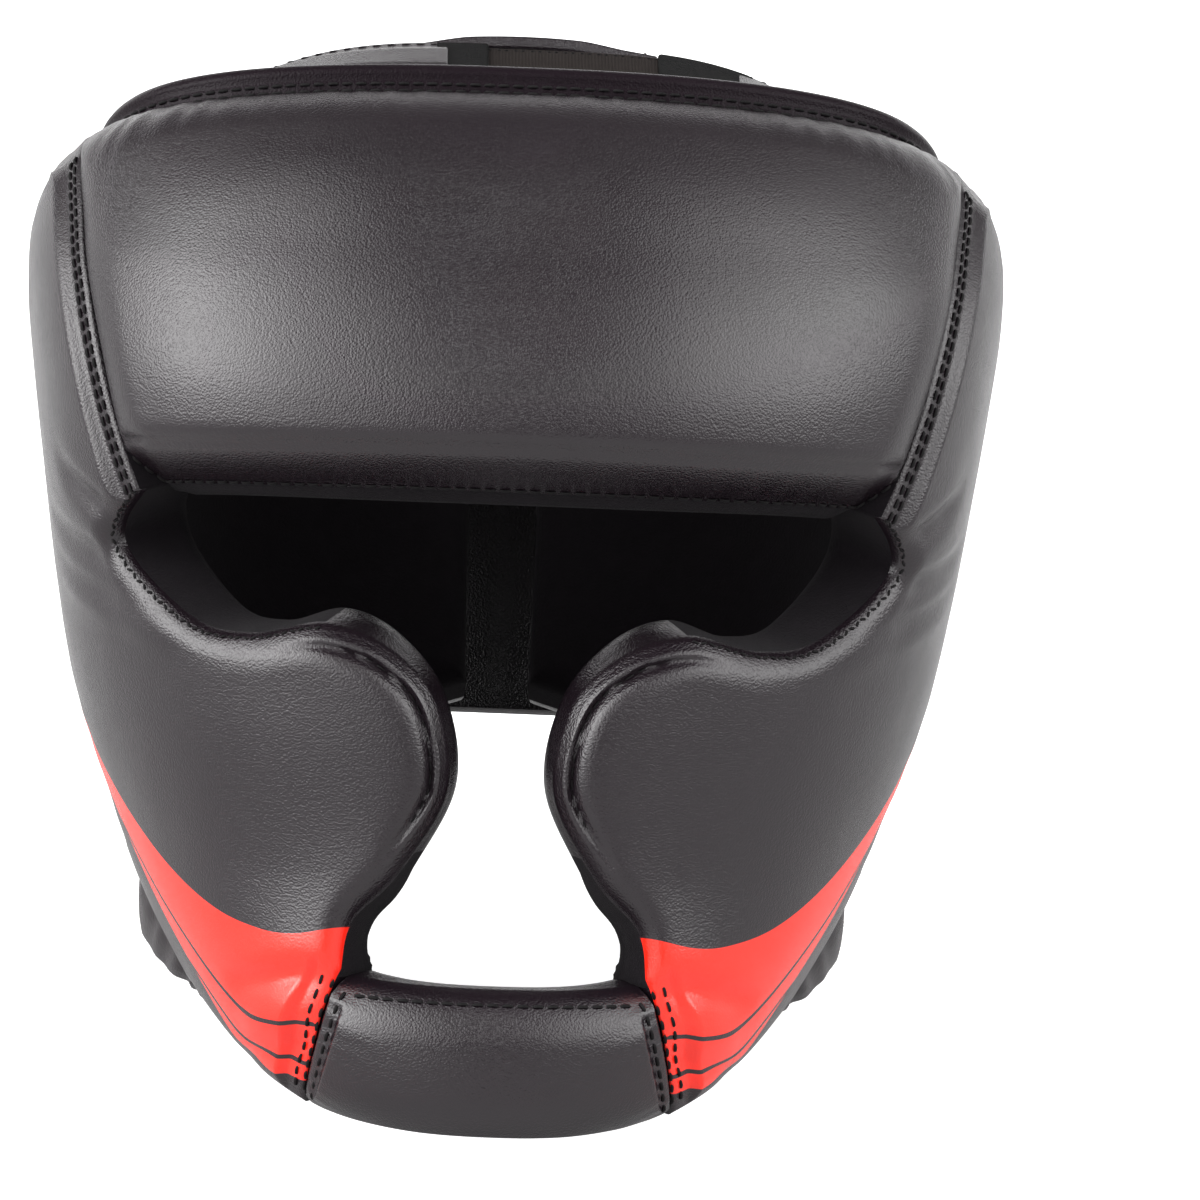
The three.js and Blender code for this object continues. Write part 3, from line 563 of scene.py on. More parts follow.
class Side:
    """One side of a panel: a path of runs, each with its own edge profile."""

    def __init__(self, *runs):
        paths = [path if k == 0 else path[1:] for k, (path, _) in enumerate(runs)]
        self.path = np.concatenate(paths)
        self.line = shell_point(self.path[:, 0], self.path[:, 1])
        run = run_along(self.line)
        self.length = run[-1]
        self.ends = run[np.cumsum([len(path) for path in paths]) - 1]
        self.knots = []
        self.values = []
        start = 0.0
        for end, (_, profile) in zip(self.ends, runs):
            ramp = min(PROFILE_RAMP, (end - start) / 3)
            self.knots += [start + ramp, end - ramp]
            self.values += [profile, profile]
            start = end

    def profile(self, along):
        table = np.array(self.values, float)
        columns = [np.interp(along, self.knots, table[:, c]) for c in range(len(PROFILE_FIELDS))]
        return dict(zip(PROFILE_FIELDS, columns))

    def depths(self, points):
        """How deep the outer leather and the lining turn in, how far off the side is, and where along it."""
        distance, along = nearest_on(self.line, points)
        p = self.profile(along)
        outer = p["drop"] * turn_in(distance, p["width"]) * (1 - p["strip"] - p["lip"] - p["gusset"])
        outer += strip_depth(distance, p["drop"], p["width"]) * p["strip"]
        outer += lip_depth(distance, p["drop"], p["width"]) * p["lip"]
        outer += gusset_depth(distance, p["drop"]) * p["gusset"]
        inner = p["in_drop"] * turn_in(distance, p["in_width"])
        return outer, inner, distance, along


# Folds, gathers and soft unevenness of the leather
def unevenness(points, seed):
    """Slow swells of the padding under the leather."""
    draw = np.random.default_rng(seed)
    total = np.zeros(len(points))
    for _ in range(UNEVEN["waves"]):
        wave = draw.normal(size=3)
        wave *= 2 * math.pi / draw.uniform(UNEVEN["shortest"], UNEVEN["longest"]) / np.linalg.norm(wave)
        total += np.sin(points @ wave + draw.uniform(0, 2 * math.pi))
    return total * UNEVEN["size"] / UNEVEN["spread"]


def fold(points, start, end, depth, width):
    """A crease from one point to another, fading at its ends, with the leather swelling beside it."""
    step = end - start
    share = (points - start) @ step / (step @ step)
    distance = np.linalg.norm(points - start - np.clip(share, 0, 1)[:, None] * step, axis=1)
    fade_in = ease((share + FOLD["lead"]) / FOLD["fade_in"])
    fade_out = ease((1 + FOLD["lead"] - share) / FOLD["fade_out"])
    crease = FOLD["crease"] * bell(distance, width)
    swell = FOLD["swell"] * bell(distance, width * FOLD["swell_width"])
    return -depth * fade_in * fade_out * (crease - swell)


def swelling(puff):
    def swell(turn, z, distance):
        rise = puff["rise"] * ease(distance / puff["reach"]) * ease((z - puff["height"]) / puff["grow"])
        if "turn" in puff:
            rise = rise * ease((puff["turn"] - turn) / puff["fade"])
        return rise
    return swell


def gathers(along, distance, seed, pitch, depth, reach):
    """Small pleats across a gathered edge, of uneven pitch and depth."""
    draw = np.random.default_rng(seed)
    phase = along * 2 * math.pi / pitch

    def drift(size, pace):
        """A slower wave of a size, at a share of the pleats' pace."""
        return size * np.sin(phase * pace + draw.uniform(0, 6))

    wander = drift(*GATHER_WANDER[0]) + drift(*GATHER_WANDER[1])
    swell = 1 - GATHER_SWELL[0] + drift(*GATHER_SWELL)
    return depth * swell * np.sin(phase + wander) * np.exp(-distance / reach)


class Pad:
    """A padded panel: outer leather and lining over one grid, closed round its border."""

    def __init__(self, panel, sides, thickness, folds=(), pleats=(), swell=None):
        self.sides = sides
        self.grid = panel_grid(sides, *PANEL_GRIDS[panel])
        self.seed = SEEDS[panel]
        self.thickness = thickness
        self.folds = [(shell_point(*on_shell(a)), shell_point(*on_shell(b)), *size) for a, b, *size in folds]
        self.pleats = pleats
        self.swell = swell
        self.centre = shell_point(self.grid[..., 0], self.grid[..., 1]).reshape(-1, 3).mean(0)

    def surface(self, turn, z):
        """Outer leather and lining at places on the panel."""
        point = shell_point(turn, z)
        normal = shell_normal(turn, z)
        under_top = np.clip(1 - np.maximum(0, rim_height(point[:, 1]) - z) / TOP_LEAN, 0, 1)
        normal = unit(normal - (under_top * (normal @ RIM_NORMAL))[:, None] * RIM_NORMAL)
        drop = np.zeros(len(point))
        inner_drop = np.zeros(len(point))
        edge_distance = np.full(len(point), np.inf)
        puff = unevenness(point, self.seed)
        for name, side in self.sides.items():
            outer, inner, distance, along = side.depths(point)
            drop = np.maximum(drop, outer)
            inner_drop = np.maximum(inner_drop, inner)
            edge_distance = np.minimum(edge_distance, distance)
            for at_side, first, last, kind in self.pleats:
                if at_side == name:
                    inside = ease((along - first) / PLEAT_FADE) * ease((last - along) / PLEAT_FADE)
                    puff = puff + inside * gathers(along, distance, self.seed, *PLEATS[kind])
        for crease in self.folds:
            puff = puff + fold(point, *crease)
        puff = puff * ease(edge_distance / UNEVEN_EDGE["reach"] + UNEVEN_EDGE["least"])
        if self.swell is not None:
            puff = puff + self.swell(turn, z, edge_distance)
        outer = point + normal * (puff - drop)[:, None]
        inner = point - normal * (self.thickness(turn) - inner_drop)[:, None]
        return outer, inner

    def build(self, name, materials, wall_material, floor, mirror=False, marks=None):
        """Makes the panel's mesh. wall_material(side, along) gives the material of the wall between."""
        rows, columns = self.grid.shape[:2]
        turn, z = self.grid[..., 0].ravel(), self.grid[..., 1].ravel()
        outer, inner = self.surface(turn, z)
        border = [(i, 0, "low") for i in range(rows - 1)]
        border += [(rows - 1, j, "rear") for j in range(columns - 1)]
        border += [(i, columns - 1, "high") for i in range(rows - 1, 0, -1)]
        border += [(0, j, "front") for j in range(columns - 1, 0, -1)]
        ring = np.array([i * columns + j for i, j, _ in border])
        inside = np.array([
            min(max(i, 1), rows - 2) * columns + min(max(j, 1), columns - 2) for i, j, _ in border
        ])
        point = shell_point(turn, z)
        outward = unit(point[ring] - point[inside])
        along = np.array([self.sides[s].depths(point[[k]])[3][0] for k, (_, _, s) in zip(ring, border)])
        bulge = np.array([self.sides[s].profile(a)["bulge"] for a, (_, _, s) in zip(along, border)])
        walls = []
        for k in range(1, WALL_ROWS):
            share = k / WALL_ROWS
            swell = (bulge * math.sin(math.pi * share))[:, None] * outward
            walls.append(outer[ring] * (1 - share) + inner[ring] * share + swell)
        vertices = standing(np.concatenate([outer, inner, *walls]))
        vertices[:, 2] = np.maximum(vertices[:, 2], floor)
        count = rows * columns
        size = len(ring)
        faces = grid_faces(rows, columns, 0, False) + grid_faces(rows, columns, count, True)
        slots = [0] * (len(faces) // 2) + [len(materials) - 1] * (len(faces) // 2)
        between_levels = [2 * count + k * size + np.arange(size) for k in range(WALL_ROWS - 1)]
        levels = [ring, *between_levels, ring + count]
        for upper, lower in zip(levels[:-1], levels[1:]):
            for k in range(size):
                m = (k + 1) % size
                faces.append((upper[k], lower[k], lower[m], upper[m]))
                slots.append(wall_material(border[k][2], along[k]))
        values = {}
        for mark, measure in (marks or {}).items():
            reading = measure(turn, z)
            values[mark] = np.concatenate([reading, reading, *[reading[ring]] * (WALL_ROWS - 1)])
        return mesh_object(name, vertices, faces, materials, mirror, slots, values)


def grid_faces(rows, columns, first, turned):
    faces = []
    for i in range(rows - 1):
        for j in range(columns - 1):
            a = first + i * columns + j
            quad = (a, a + columns, a + columns + 1, a + 1)
            faces.append(quad[::-1] if turned else quad)
    return faces


def standing(points):
    """The wearer's frame leaned back on to the floor."""
    c, s = math.cos(LEAN_BACK), math.sin(LEAN_BACK)
    x, y, z = points[:, 0], points[:, 1], points[:, 2]
    return np.stack([x, y * c + z * s + SHIFT_BACK, -y * s + z * c + LIFT], axis=-1)


def mesh_object(name, vertices, faces, materials, mirror=False, slots=None, values=None):
    if mirror:
        vertices = vertices * np.array([-1, 1, 1])
        faces = [face[::-1] for face in faces]
    mesh = bpy.data.meshes.new(name)
    mesh.from_pydata((vertices * MM).tolist(), [], [tuple(int(k) for k in f) for f in faces])
    for material in materials:
        mesh.materials.append(material)
    if slots is not None:
        mesh.polygons.foreach_set("material_index", np.array(slots, np.int32))
    for mark, reading in (values or {}).items():
        attribute = mesh.attributes.new(mark, "FLOAT", "POINT")
        attribute.data.foreach_set("value", reading.astype(np.float32))
    mesh.validate()
    piece = bpy.data.objects.new(name, mesh)
    bpy.context.scene.collection.objects.link(piece)
    shade(piece, SMOOTH_ANGLE["padding"])
    return piece


def select_only(piece):
    bpy.ops.object.select_all(action="DESELECT")
    piece.select_set(True)
    bpy.context.view_layer.objects.active = piece


def shade(piece, angle):
    select_only(piece)
    bpy.ops.object.shade_smooth_by_angle(angle=math.radians(angle))


def place_in_frame(piece, slot, *nodes):
    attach(piece, "root")
    if nodes:
        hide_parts(*nodes)
    return piece


# Stitches: rings along each one as shares of its half length and radius, and how it dives at its ends
STITCH_RINGS = ((-1, 0.35), (-0.72, 0.9), (0, 1), (0.72, 0.9), (1, 0.35))
STITCH_SIDES = 6
STITCH = {"length": 0.8, "flatness": 0.8, "rise": 0.75, "dive": 1.1}


class Thread:
    """Collects stitches and joins them into one piece."""

    def __init__(self):
        self.vertices = []
        self.faces = []

    def stitch(self, middle, ahead, up, length, radius):
        side = np.cross(up, ahead)
        n = STITCH_SIDES
        first = len(self.vertices)
        for share, girth in STITCH_RINGS:
            dive = radius * (STITCH["rise"] - STITCH["dive"] * share**4)
            centre = middle + ahead * share * length / 2 + up * dive
            for k in range(n):
                a = 2 * math.pi * k / n
                outwards = side * math.cos(a) + up * STITCH["flatness"] * math.sin(a)
                self.vertices.append(centre + radius * girth * outwards)
        last = first + n * (len(STITCH_RINGS) - 1)
        for a in range(first, last, n):
            for k in range(n):
                m = (k + 1) % n
                self.faces.append((a + k, a + m, a + n + m, a + n + k))
        self.faces.append(tuple(first + k for k in range(n - 1, -1, -1)))
        self.faces.append(tuple(last + k for k in range(n)))

    def row(self, points, normals, pitch=3.3, radius=0.42, slant=0.0):
        """A row of stitches along a line of points, in the wearer's frame."""
        run = run_along(points)
        count = int(run[-1] / pitch)

        def read(rows, place):
            return np.array([np.interp(place, run, rows[:, c]) for c in range(3)])

        for k in range(count):
            place = (k + 0.5) * run[-1] / count
            up = unit(read(normals, place))
            ahead = read(points, place + 1) - read(points, place - 1)
            ahead = unit(ahead - (ahead @ up) * up)
            lean = slant if k % 2 else -slant
            ahead = unit(ahead * math.cos(lean) + np.cross(up, ahead) * math.sin(lean))
            self.stitch(read(points, place), ahead, up, pitch * STITCH["length"], radius)

    def sew(self, pad, path, offset, **how):
        """A row on a panel, at an offset from a path towards the panel's middle."""
        shifted = offset_path(path, offset, pad.centre)
        outer, _ = pad.surface(shifted[:, 0], shifted[:, 1])
        self.row(outer, surface_normals(pad, shifted), **how)

    def build(self, name, mirror=False):
        piece = mesh_object(name, standing(np.array(self.vertices)), self.faces, [thread], mirror)
        return place_in_frame(piece, "lining")


def surface_normals(pad, path):
    """Normals of the turned-in leather along a path."""
    turn, z = path[:, 0], path[:, 1]
    around = pad.surface(turn + SMALL_TURN, z)[0] - pad.surface(turn - SMALL_TURN, z)[0]
    upward = pad.surface(turn, z + SMALL_RISE)[0] - pad.surface(turn, z - SMALL_RISE)[0]
    return unit(np.cross(around, upward))


def offset_path(path, offset, centre):
    """A path moved sideways on the leather, towards the side where centre lies."""
    turn, z = path[:, 0], path[:, 1]
    point = shell_point(turn, z)
    around, upward = shell_slopes(turn, z)
    normal = unit(np.cross(around, upward))
    ahead = unit(np.gradient(point, axis=0))
    side = unit(np.cross(normal, ahead))
    if ((centre - point) * side).sum() < 0:
        side = -side
    move = side * offset
    aa = (around * around).sum(-1)
    uu = (upward * upward).sum(-1)
    au = (around * upward).sum(-1)
    ma = (move * around).sum(-1)
    mu = (move * upward).sum(-1)
    det = aa * uu - au * au
    return np.stack([turn + (ma * uu - mu * au) / det, z + (mu * aa - ma * au) / det], axis=-1)


# Nodes of the materials
class NodeTree:
    """Adds nodes to a tree. A number or colour is set on a socket, and another node's output is linked."""

    def __init__(self, tree):
        self.nodes = tree.nodes
        self.links = tree.links

    def feed(self, socket, value):
        if isinstance(value, (int, float, tuple)):
            socket.default_value = value
        else:
            self.links.new(value, socket)

    def add(self, kind, inputs, **settings):
        node = self.nodes.new(kind)
        for name, value in settings.items():
            setattr(node, name, value)
        for key, value in dict(inputs).items():
            self.feed(node.inputs[key], value)
        return node

    def math(self, operation, *values):
        return self.add("ShaderNodeMath", enumerate(values), operation=operation).outputs[0]

    def mix(self, factor, a, b):
        return self.add("ShaderNodeMix", {0: factor, 6: a, 7: b}, data_type="RGBA").outputs[2]

    def map_range(self, value, low, high, to_low=0.0, to_high=1.0, smooth=False):
        way = "SMOOTHSTEP" if smooth else "LINEAR"
        inputs = enumerate((value, low, high, to_low, to_high))
        return self.add("ShaderNodeMapRange", inputs, interpolation_type=way).outputs[0]

    def noise(self, vector, scale, detail, rough=0.5):
        inputs = {"Vector": vector, "Scale": scale, "Detail": detail, "Roughness": rough}
        return self.add("ShaderNodeTexNoise", inputs).outputs["Fac"]

    def place_group(self, group, scale):
        coordinates = self.nodes.new("ShaderNodeTexCoord")
        node = self.nodes.new("ShaderNodeGroup")
        node.node_tree = group
        self.feed(node.inputs["Scale"], scale)
        self.feed(node.inputs["Vector"], coordinates.outputs["Object"])
        return node

    def dress(self, colour, roughness, specular, height, bump, sheen=0.0):
        """Gives the shader its colour, shine and relief; bump is a distance in metres and a strength."""
        relief = self.add("ShaderNodeBump", {"Height": height, "Distance": bump[0], "Strength": bump[1]})
        inputs = self.nodes["Principled BSDF"].inputs
        self.feed(inputs["Base Color"], colour)
        self.feed(inputs["Roughness"], roughness)
        self.feed(inputs["Specular IOR Level"], specular)
        self.feed(inputs["Sheen Weight"], sheen)
        self.feed(inputs["Normal"], relief.outputs[0])


def new_material(name):
    material = bpy.data.materials.new(name)
    material.use_nodes = True
    return material, NodeTree(material.node_tree)


def new_group(name, scale, outputs):
    """A node group with a Vector, a Scale and the outputs named; gives its tree and its two ends."""
    group = bpy.data.node_groups.new(name, "ShaderNodeTree")
    group.interface.new_socket("Vector", in_out="INPUT", socket_type="NodeSocketVector")
    group.interface.new_socket("Scale", in_out="INPUT", socket_type="NodeSocketFloat").default_value = scale
    for label in outputs:
        group.interface.new_socket(label, in_out="OUTPUT", socket_type="NodeSocketFloat")
    tree = NodeTree(group)
    given = tree.nodes.new("NodeGroupInput").outputs
    return group, tree, given["Vector"], given["Scale"], tree.nodes.new("NodeGroupOutput").inputs


def leather_grain_group():
    """Pebbled grain of coated leather: Height for the bump, Tone and Shine that wander slowly."""
    group, tree, vector, scale, result = new_group("leather_grain", 1000.0, ("Height", "Tone", "Shine"))
    cell_inputs = {"Vector": vector, "Scale": scale, "Smoothness": 0.6}
    cells = tree.add("ShaderNodeTexVoronoi", cell_inputs, feature="SMOOTH_F1")
    pebbles = tree.math("MULTIPLY", cells.outputs["Distance"], -0.8)
    fine = tree.noise(vector, tree.math("MULTIPLY", scale, 1.7), 3.0)
    tree.feed(result["Height"], tree.math("ADD", pebbles, tree.math("MULTIPLY", fine, 0.6)))
    tree.feed(result["Tone"], tree.noise(vector, 24.0, 3.0))
    tree.feed(result["Shine"], tree.noise(vector, 60.0, 4.0, 0.6))
    return group


def cloth_fuzz_group():
    """Short uneven pile of lining, thread, webbing and hook-and-loop tape."""
    group, tree, vector, scale, result = new_group("cloth_fuzz", 900.0, ("Height", "Tone"))
    tree.feed(result["Height"], tree.noise(vector, scale, 5.0, 0.75))
    tree.feed(result["Tone"], tree.noise(vector, 180.0, 4.0, 0.7))
    return group


LEATHER_GRAIN = leather_grain_group()
CLOTH_FUZZ = cloth_fuzz_group()
GRAIN_SCALE = 1900.0
GRAIN_BUMP = (0.00014, 0.9)
LEATHER_ROUGHNESS = (0.20, 0.27)
NOISE_SPAN = (0.3, 0.7)
BLACK = ((0.0086, 0.0050, 0.0076, 1), (0.0134, 0.0084, 0.0118, 1))
RED = ((0.76, 0.020, 0.009, 1), (0.88, 0.032, 0.014, 1))
GLOSSY = 0.75
# Shine of a copy of the black leather, cut low to paint the shade that the crown band and straps lie in
SHADED_SPECULAR = 0.12
STRIPE_GRAIN = 0.45


def leather_parts(name):
    """A new leather's material, nodes and grain, with its black and its roughness."""
    material, tree = new_material(name)
    grain = tree.place_group(LEATHER_GRAIN, GRAIN_SCALE).outputs
    black = tree.mix(grain["Tone"], *BLACK)
    roughness = tree.map_range(grain["Shine"], *NOISE_SPAN, *LEATHER_ROUGHNESS)
    return material, tree, grain, black, roughness


def leather_material(name, specular):
    material, tree, grain, black, roughness = leather_parts(name)
    tree.dress(black, roughness, specular, grain["Height"], GRAIN_BUMP)
    return material


def striped_leather_material():
    """Black leather with the red sweeping stripe, read from the distances stored on the panel."""
    material, tree, grain, black, roughness = leather_parts("striped_leather")

    def distance(mark):
        return tree.add("ShaderNodeAttribute", {}, attribute_name=mark).outputs["Fac"]

    below = tree.map_range(distance("stripe_top"), STRIPE_BLUR, -STRIPE_BLUR)
    above = tree.map_range(distance("stripe_low"), -STRIPE_BLUR, STRIPE_BLUR)
    mask = tree.math("MULTIPLY", below, above)
    for mark, half in PIN_HALF.items():
        off_line = tree.math("ABSOLUTE", distance(mark))
        mask = tree.math("MULTIPLY", mask, tree.map_range(off_line, half - PIN_BLUR, half + PIN_BLUR))
    colour = tree.mix(mask, black, tree.mix(grain["Tone"], *RED))
    calm = tree.map_range(mask, 0.0, 1.0, 1.0, STRIPE_GRAIN)
    tree.dress(colour, roughness, GLOSSY, tree.math("MULTIPLY", grain["Height"], calm), GRAIN_BUMP)
    return material


def cloth_material(name, pile, tones, roughness, specular, bump, sheen=0.0):
    material, tree = new_material(name)
    fuzz = tree.place_group(CLOTH_FUZZ, pile).outputs
    rough = tree.map_range(fuzz["Height"], *NOISE_SPAN, *roughness)
    tree.dress(tree.mix(fuzz["Tone"], *tones), rough, specular, fuzz["Height"], bump, sheen)
    return material


def webbing_material():
    """Ribbed elastic: its ribs are in the mesh, its yarns run across them in the weave."""
    material, tree = new_material("elastic_webbing")
    uv = tree.nodes.new("ShaderNodeUVMap").outputs[0]
    across, along, _ = tree.add("ShaderNodeSeparateXYZ", {0: uv}).outputs

    def waves(axis, count):
        return tree.math("SINE", tree.math("MULTIPLY", axis, 2 * math.pi * count))

    yarn = tree.math("MULTIPLY", waves(across, WEBBING["yarns"]), 0.3)
    weave = tree.math("ADD", waves(along, WEBBING["ribs"]), yarn)
    fuzz = tree.place_group(CLOTH_FUZZ, 1300.0).outputs
    pale = tree.map_range(tree.math("ADD", weave, fuzz["Tone"]), -0.6, 1.6)
    colour = tree.mix(pale, (0.012, 0.0098, 0.0095, 1), (0.040, 0.034, 0.032, 1))
    rough = tree.map_range(fuzz["Height"], *NOISE_SPAN, 0.7, 0.85)
    tree.dress(colour, rough, 0.15, tree.math("ADD", weave, fuzz["Height"]), (0.0003, 0.7))
    return material


leather = leather_material("black_leather", GLOSSY)
# A copy of the black leather, same colour, with its shine cut as painted shade on the crown band and straps
shade_dulled_leather = leather_material("shade_dulled_leather", SHADED_SPECULAR)
striped = striped_leather_material()
lining = cloth_material(
    "lining_cloth",
    pile=1500.0,
    tones=((0.0050, 0.0036, 0.0050, 1), (0.0120, 0.0090, 0.0120, 1)),
    roughness=(0.85, 0.98),
    specular=0.15,
    bump=(0.0005, 0.8),
    sheen=0.04,
)
tape = cloth_material(
    "hook_and_loop_tape",
    pile=1100.0,
    tones=((0.003, 0.003, 0.003, 1), (0.011, 0.0105, 0.011, 1)),
    roughness=(0.8, 1.0),
    specular=0.08,
    bump=(0.0011, 1.0),
    sheen=0.03,
)
webbing = webbing_material()
thread = cloth_material(
    "black_thread",
    pile=2500.0,
    tones=((0.005, 0.0045, 0.005, 1), (0.014, 0.013, 0.0135, 1)),
    roughness=(0.6, 0.75),
    specular=0.2,
    bump=(0.00015, 0.6),
)


def stripe_measures():
    """For each stripe line, a function that gives the signed distance of places from it, up positive."""
    measures = {}
    for mark, points in STRIPE.items():
        path = spline([on_shell({"y": y, "z": z}) for y, z in points], STRIPE_STEPS)
        line = shell_point(path[:, 0], path[:, 1])
        order = np.argsort(path[:, 0])

        def measure(turn, z, path=path[order], line=line):
            distance, _ = nearest_on(line, shell_point(turn, z))
            height = np.interp(turn, path[:, 0], path[:, 1])
            return np.where(z > height, distance, -distance)

        measures[mark] = measure
    return measures


# The padded panels
def forehead_pad():
    seam = seam_inset(BROW_PATH, -SEAM_GAP["brow"])
    high = top_run(-seam[-1, 0], seam[-1, 0], BROW_STEPS)
    high[0], high[-1] = flipped(seam)[-1], seam[-1]
    sides = {
        "front": Side((flipped(seam), PUFFED_SEAM)),
        "rear": Side((seam, PUFFED_SEAM)),
        "low": Side((bowed(seam[0], BROW_BOW, BROW_STEPS), BROW_LIP)),
        "high": Side((high, TOP_EDGE)),
    }
    pleats = (("high", 0, sides["high"].length, "brow_top"), ("low", *BROW_LIP_PLEATS, "brow_lip"))
    return Pad("forehead", sides, lambda turn: PAD["forehead"], pleats=pleats, swell=swelling(BROW_PUFF))


def side_panel():
    chin = seam_inset(CHIN_PATH, SEAM_GAP["chin"])
    brow = seam_inset(BROW_PATH, SEAM_GAP["brow"])
    face = FACE_PATH.copy()
    face[0], face[-1] = chin[-1], brow[0]
    jaw = seam_inset(JAW_PATH, -SEAM_GAP["ear"])
    nape = seam_inset(NAPE_PATH, -SEAM_GAP["ear"])
    ear = ear_arc(math.pi, 0)
    ear[0], ear[-1] = jaw[-1], nape[0]
    top = top_run(brow[-1, 0], nape[-1, 0])
    top[0] = brow[-1]
    nape[-1] = top[-1]
    sides = {
        "front": Side(
            (chin, TOPSTITCHED_SEAM),
            (face[:MOUTH_END + 1], MOUTH_CORNER),
            (face[MOUTH_END:UNDERSIDE_END + 1], LOBE_UNDERSIDE),
            (face[UNDERSIDE_END:CHEEK_END + 1], CHEEK_GUSSET),
            (face[CHEEK_END:], EYE_ROLL),
        ),
        "rear": Side((jaw, PUFFED_SEAM), (ear, ROLLED_EDGE), (nape, PUFFED_SEAM)),
        "low": Side((between(chin[0], jaw[0]), ROLLED_EDGE)),
        "high": Side((brow, TOPSTITCHED_SEAM), (top, TOP_EDGE)),
    }
    brow_end, top_end = sides["high"].ends
    jaw_end, ear_end, _ = sides["rear"].ends
    pleats = (
        ("high", brow_end + TOP_PLEAT_START, top_end, "panel_top"),
        ("rear", jaw_end, ear_end, "side_ear"),
    )

    def thickness(turn):
        return PAD["side"] + (PAD["cheek"] - PAD["side"]) * np.maximum(0, 1 - turn / CHEEK_TURN)

    return Pad("side", sides, thickness, SIDE_FOLDS, pleats, swelling(CHEEK_PUFF))


def ear_pad():
    jaw = seam_inset(JAW_PATH, SEAM_GAP["ear"])
    nape = seam_inset(NAPE_PATH, SEAM_GAP["ear"])
    ear = ear_arc(math.pi, 2 * math.pi)
    ear[0], ear[-1] = jaw[-1], nape[0]
    lower = smooth_path(LOWER_EDGE)
    lower[0] = jaw[0]
    top = top_run(nape[-1, 0], turn_of(NAPE_TOP))
    nape[-1] = top[0]
    sides = {
        "front": Side((jaw, PUFFED_SEAM)),
        "rear": Side((between(lower[-1], top[-1]), ROLLED_EDGE)),
        "low": Side((lower, ROLLED_EDGE)),
        "high": Side((ear, ROLLED_EDGE), (nape, PUFFED_SEAM), (top, TOP_EDGE)),
    }
    ear_end, nape_end, top_end = sides["high"].ends
    pleats = (
        ("high", 0, ear_end, "ear_hole"),
        ("high", nape_end, top_end, "panel_top"),
        ("front", 0, sides["front"].length, "jaw"),
    )
    return Pad("ear", sides, lambda turn: PAD["ear"], pleats=pleats, swell=swelling(EAR_PUFF))


def chin_bar():
    seam = seam_inset(CHIN_PATH, -SEAM_GAP["chin"])
    sides = {
        "front": Side((flipped(seam), CHIN_STRIP)),
        "rear": Side((seam, CHIN_STRIP)),
        "low": Side((bowed(seam[0], -CHIN_BOW, CHIN_STEPS), CHIN_ROLL)),
        "high": Side((bowed(seam[-1], 0, CHIN_STEPS), CHIN_ROLL)),
    }
    pleats = [(name, 0, sides[name].length, "chin") for name in ("front", "rear")]
    return Pad("chin", sides, lambda turn: PAD["chin"], pleats=pleats)


forehead = forehead_pad()
cheek_side = side_panel()
ear_side = ear_pad()
chin = chin_bar()
EAR_LEATHER_SHARE = 0.55


# Walls between leather and lining: a function gives the number of a wall's material in its panel's list
def side_wall(side, along):
    """The cheek's edge has a leather gusset, and the lining comes round the mouth, the eye and the ear."""
    seam_end, _, underside_end, gusset_end, _ = cheek_side.sides["front"].ends
    if side == "front" and (along < seam_end or underside_end < along < gusset_end):
        return 1
    return 1 if side == "low" else 2


def ear_wall(side, along):
    """The lining comes round every edge but the jaw's lower one."""
    return 0 if side == "low" and along < EAR_LEATHER_SHARE * ear_side.sides["low"].length else 1


BOTH_SIDES = (("left", False), ("right", True))
piece = forehead.build("forehead_padding", [leather, lining], lambda side, along: 1, 0)
place_in_frame(piece, "leather", "forehead_pad")
piece = chin.build("chin_padding", [leather, lining], lambda side, along: 0, 0)
place_in_frame(piece, "leather", "chin_bar")
measures = stripe_measures()
for suffix, mirror in BOTH_SIDES:
    layers = [striped, leather, lining]
    piece = cheek_side.build(f"side_padding_{suffix}", layers, side_wall, 0, mirror, measures)
    place_in_frame(piece, "striped_leather", f"side_panel_{suffix}")
    piece = ear_side.build(f"ear_padding_{suffix}", [leather, lining], ear_wall, STRAP_TOP, mirror)
    place_in_frame(piece, "leather", f"ear_pad_{suffix}")


# Stitching of the panels
def panel_stitches():
    """The rows on one side, each with its panel, path, offset from the path and way of stitching."""
    face = cheek_side.sides["front"].path[len(CHIN_PATH) - 1:]
    # Paths are cut short where a row runs under the rim or into a corner
    brow = BROW_PATH[:-8]
    chin_seam = CHIN_PATH[7:-2]
    gusset = face[50:CHEEK_END - 13]
    sewn = (
        (cheek_side, brow, 2.1, {}),
        (cheek_side, brow, 4.3, {}),
        (forehead, brow, 0.5, {"pitch": 3.6, "radius": 0.4}),
        (cheek_side, chin_seam, 0.7, {}),
        (cheek_side, chin_seam, 3.1, {}),
        (chin, CHIN_PATH[8:-4], 3.4, {}),
        (cheek_side, gusset, GUSSET["seam"], {"pitch": 3.2, "radius": 0.25}),
        (cheek_side, face[CHEEK_END:], 0.9, {"pitch": 2.0, "slant": 0.5, "radius": 0.3}),
        (cheek_side, JAW_PATH, 1.8, {}),
        (cheek_side, NAPE_PATH, 1.4, {}),
        (cheek_side, NAPE_PATH, 3.4, {}),
    )
    rows = Thread()
    for pad, path, offset, how in sewn:
        rows.sew(pad, path, offset, **how)
    return rows


panel_rows = panel_stitches()
for suffix, mirror in BOTH_SIDES:
    panel_rows.build(f"panel_stitches_{suffix}", mirror)

brow_row = Thread()
brow_row.sew(forehead, forehead.sides["low"].path, 0.8, pitch=3.4)
brow_row.build("brow_stitches")

chin_row = Thread()
chin_row.sew(chin, chin.sides["high"].path[3:-3], 4.6, pitch=3.4)
chin_row.build("chin_stitches")


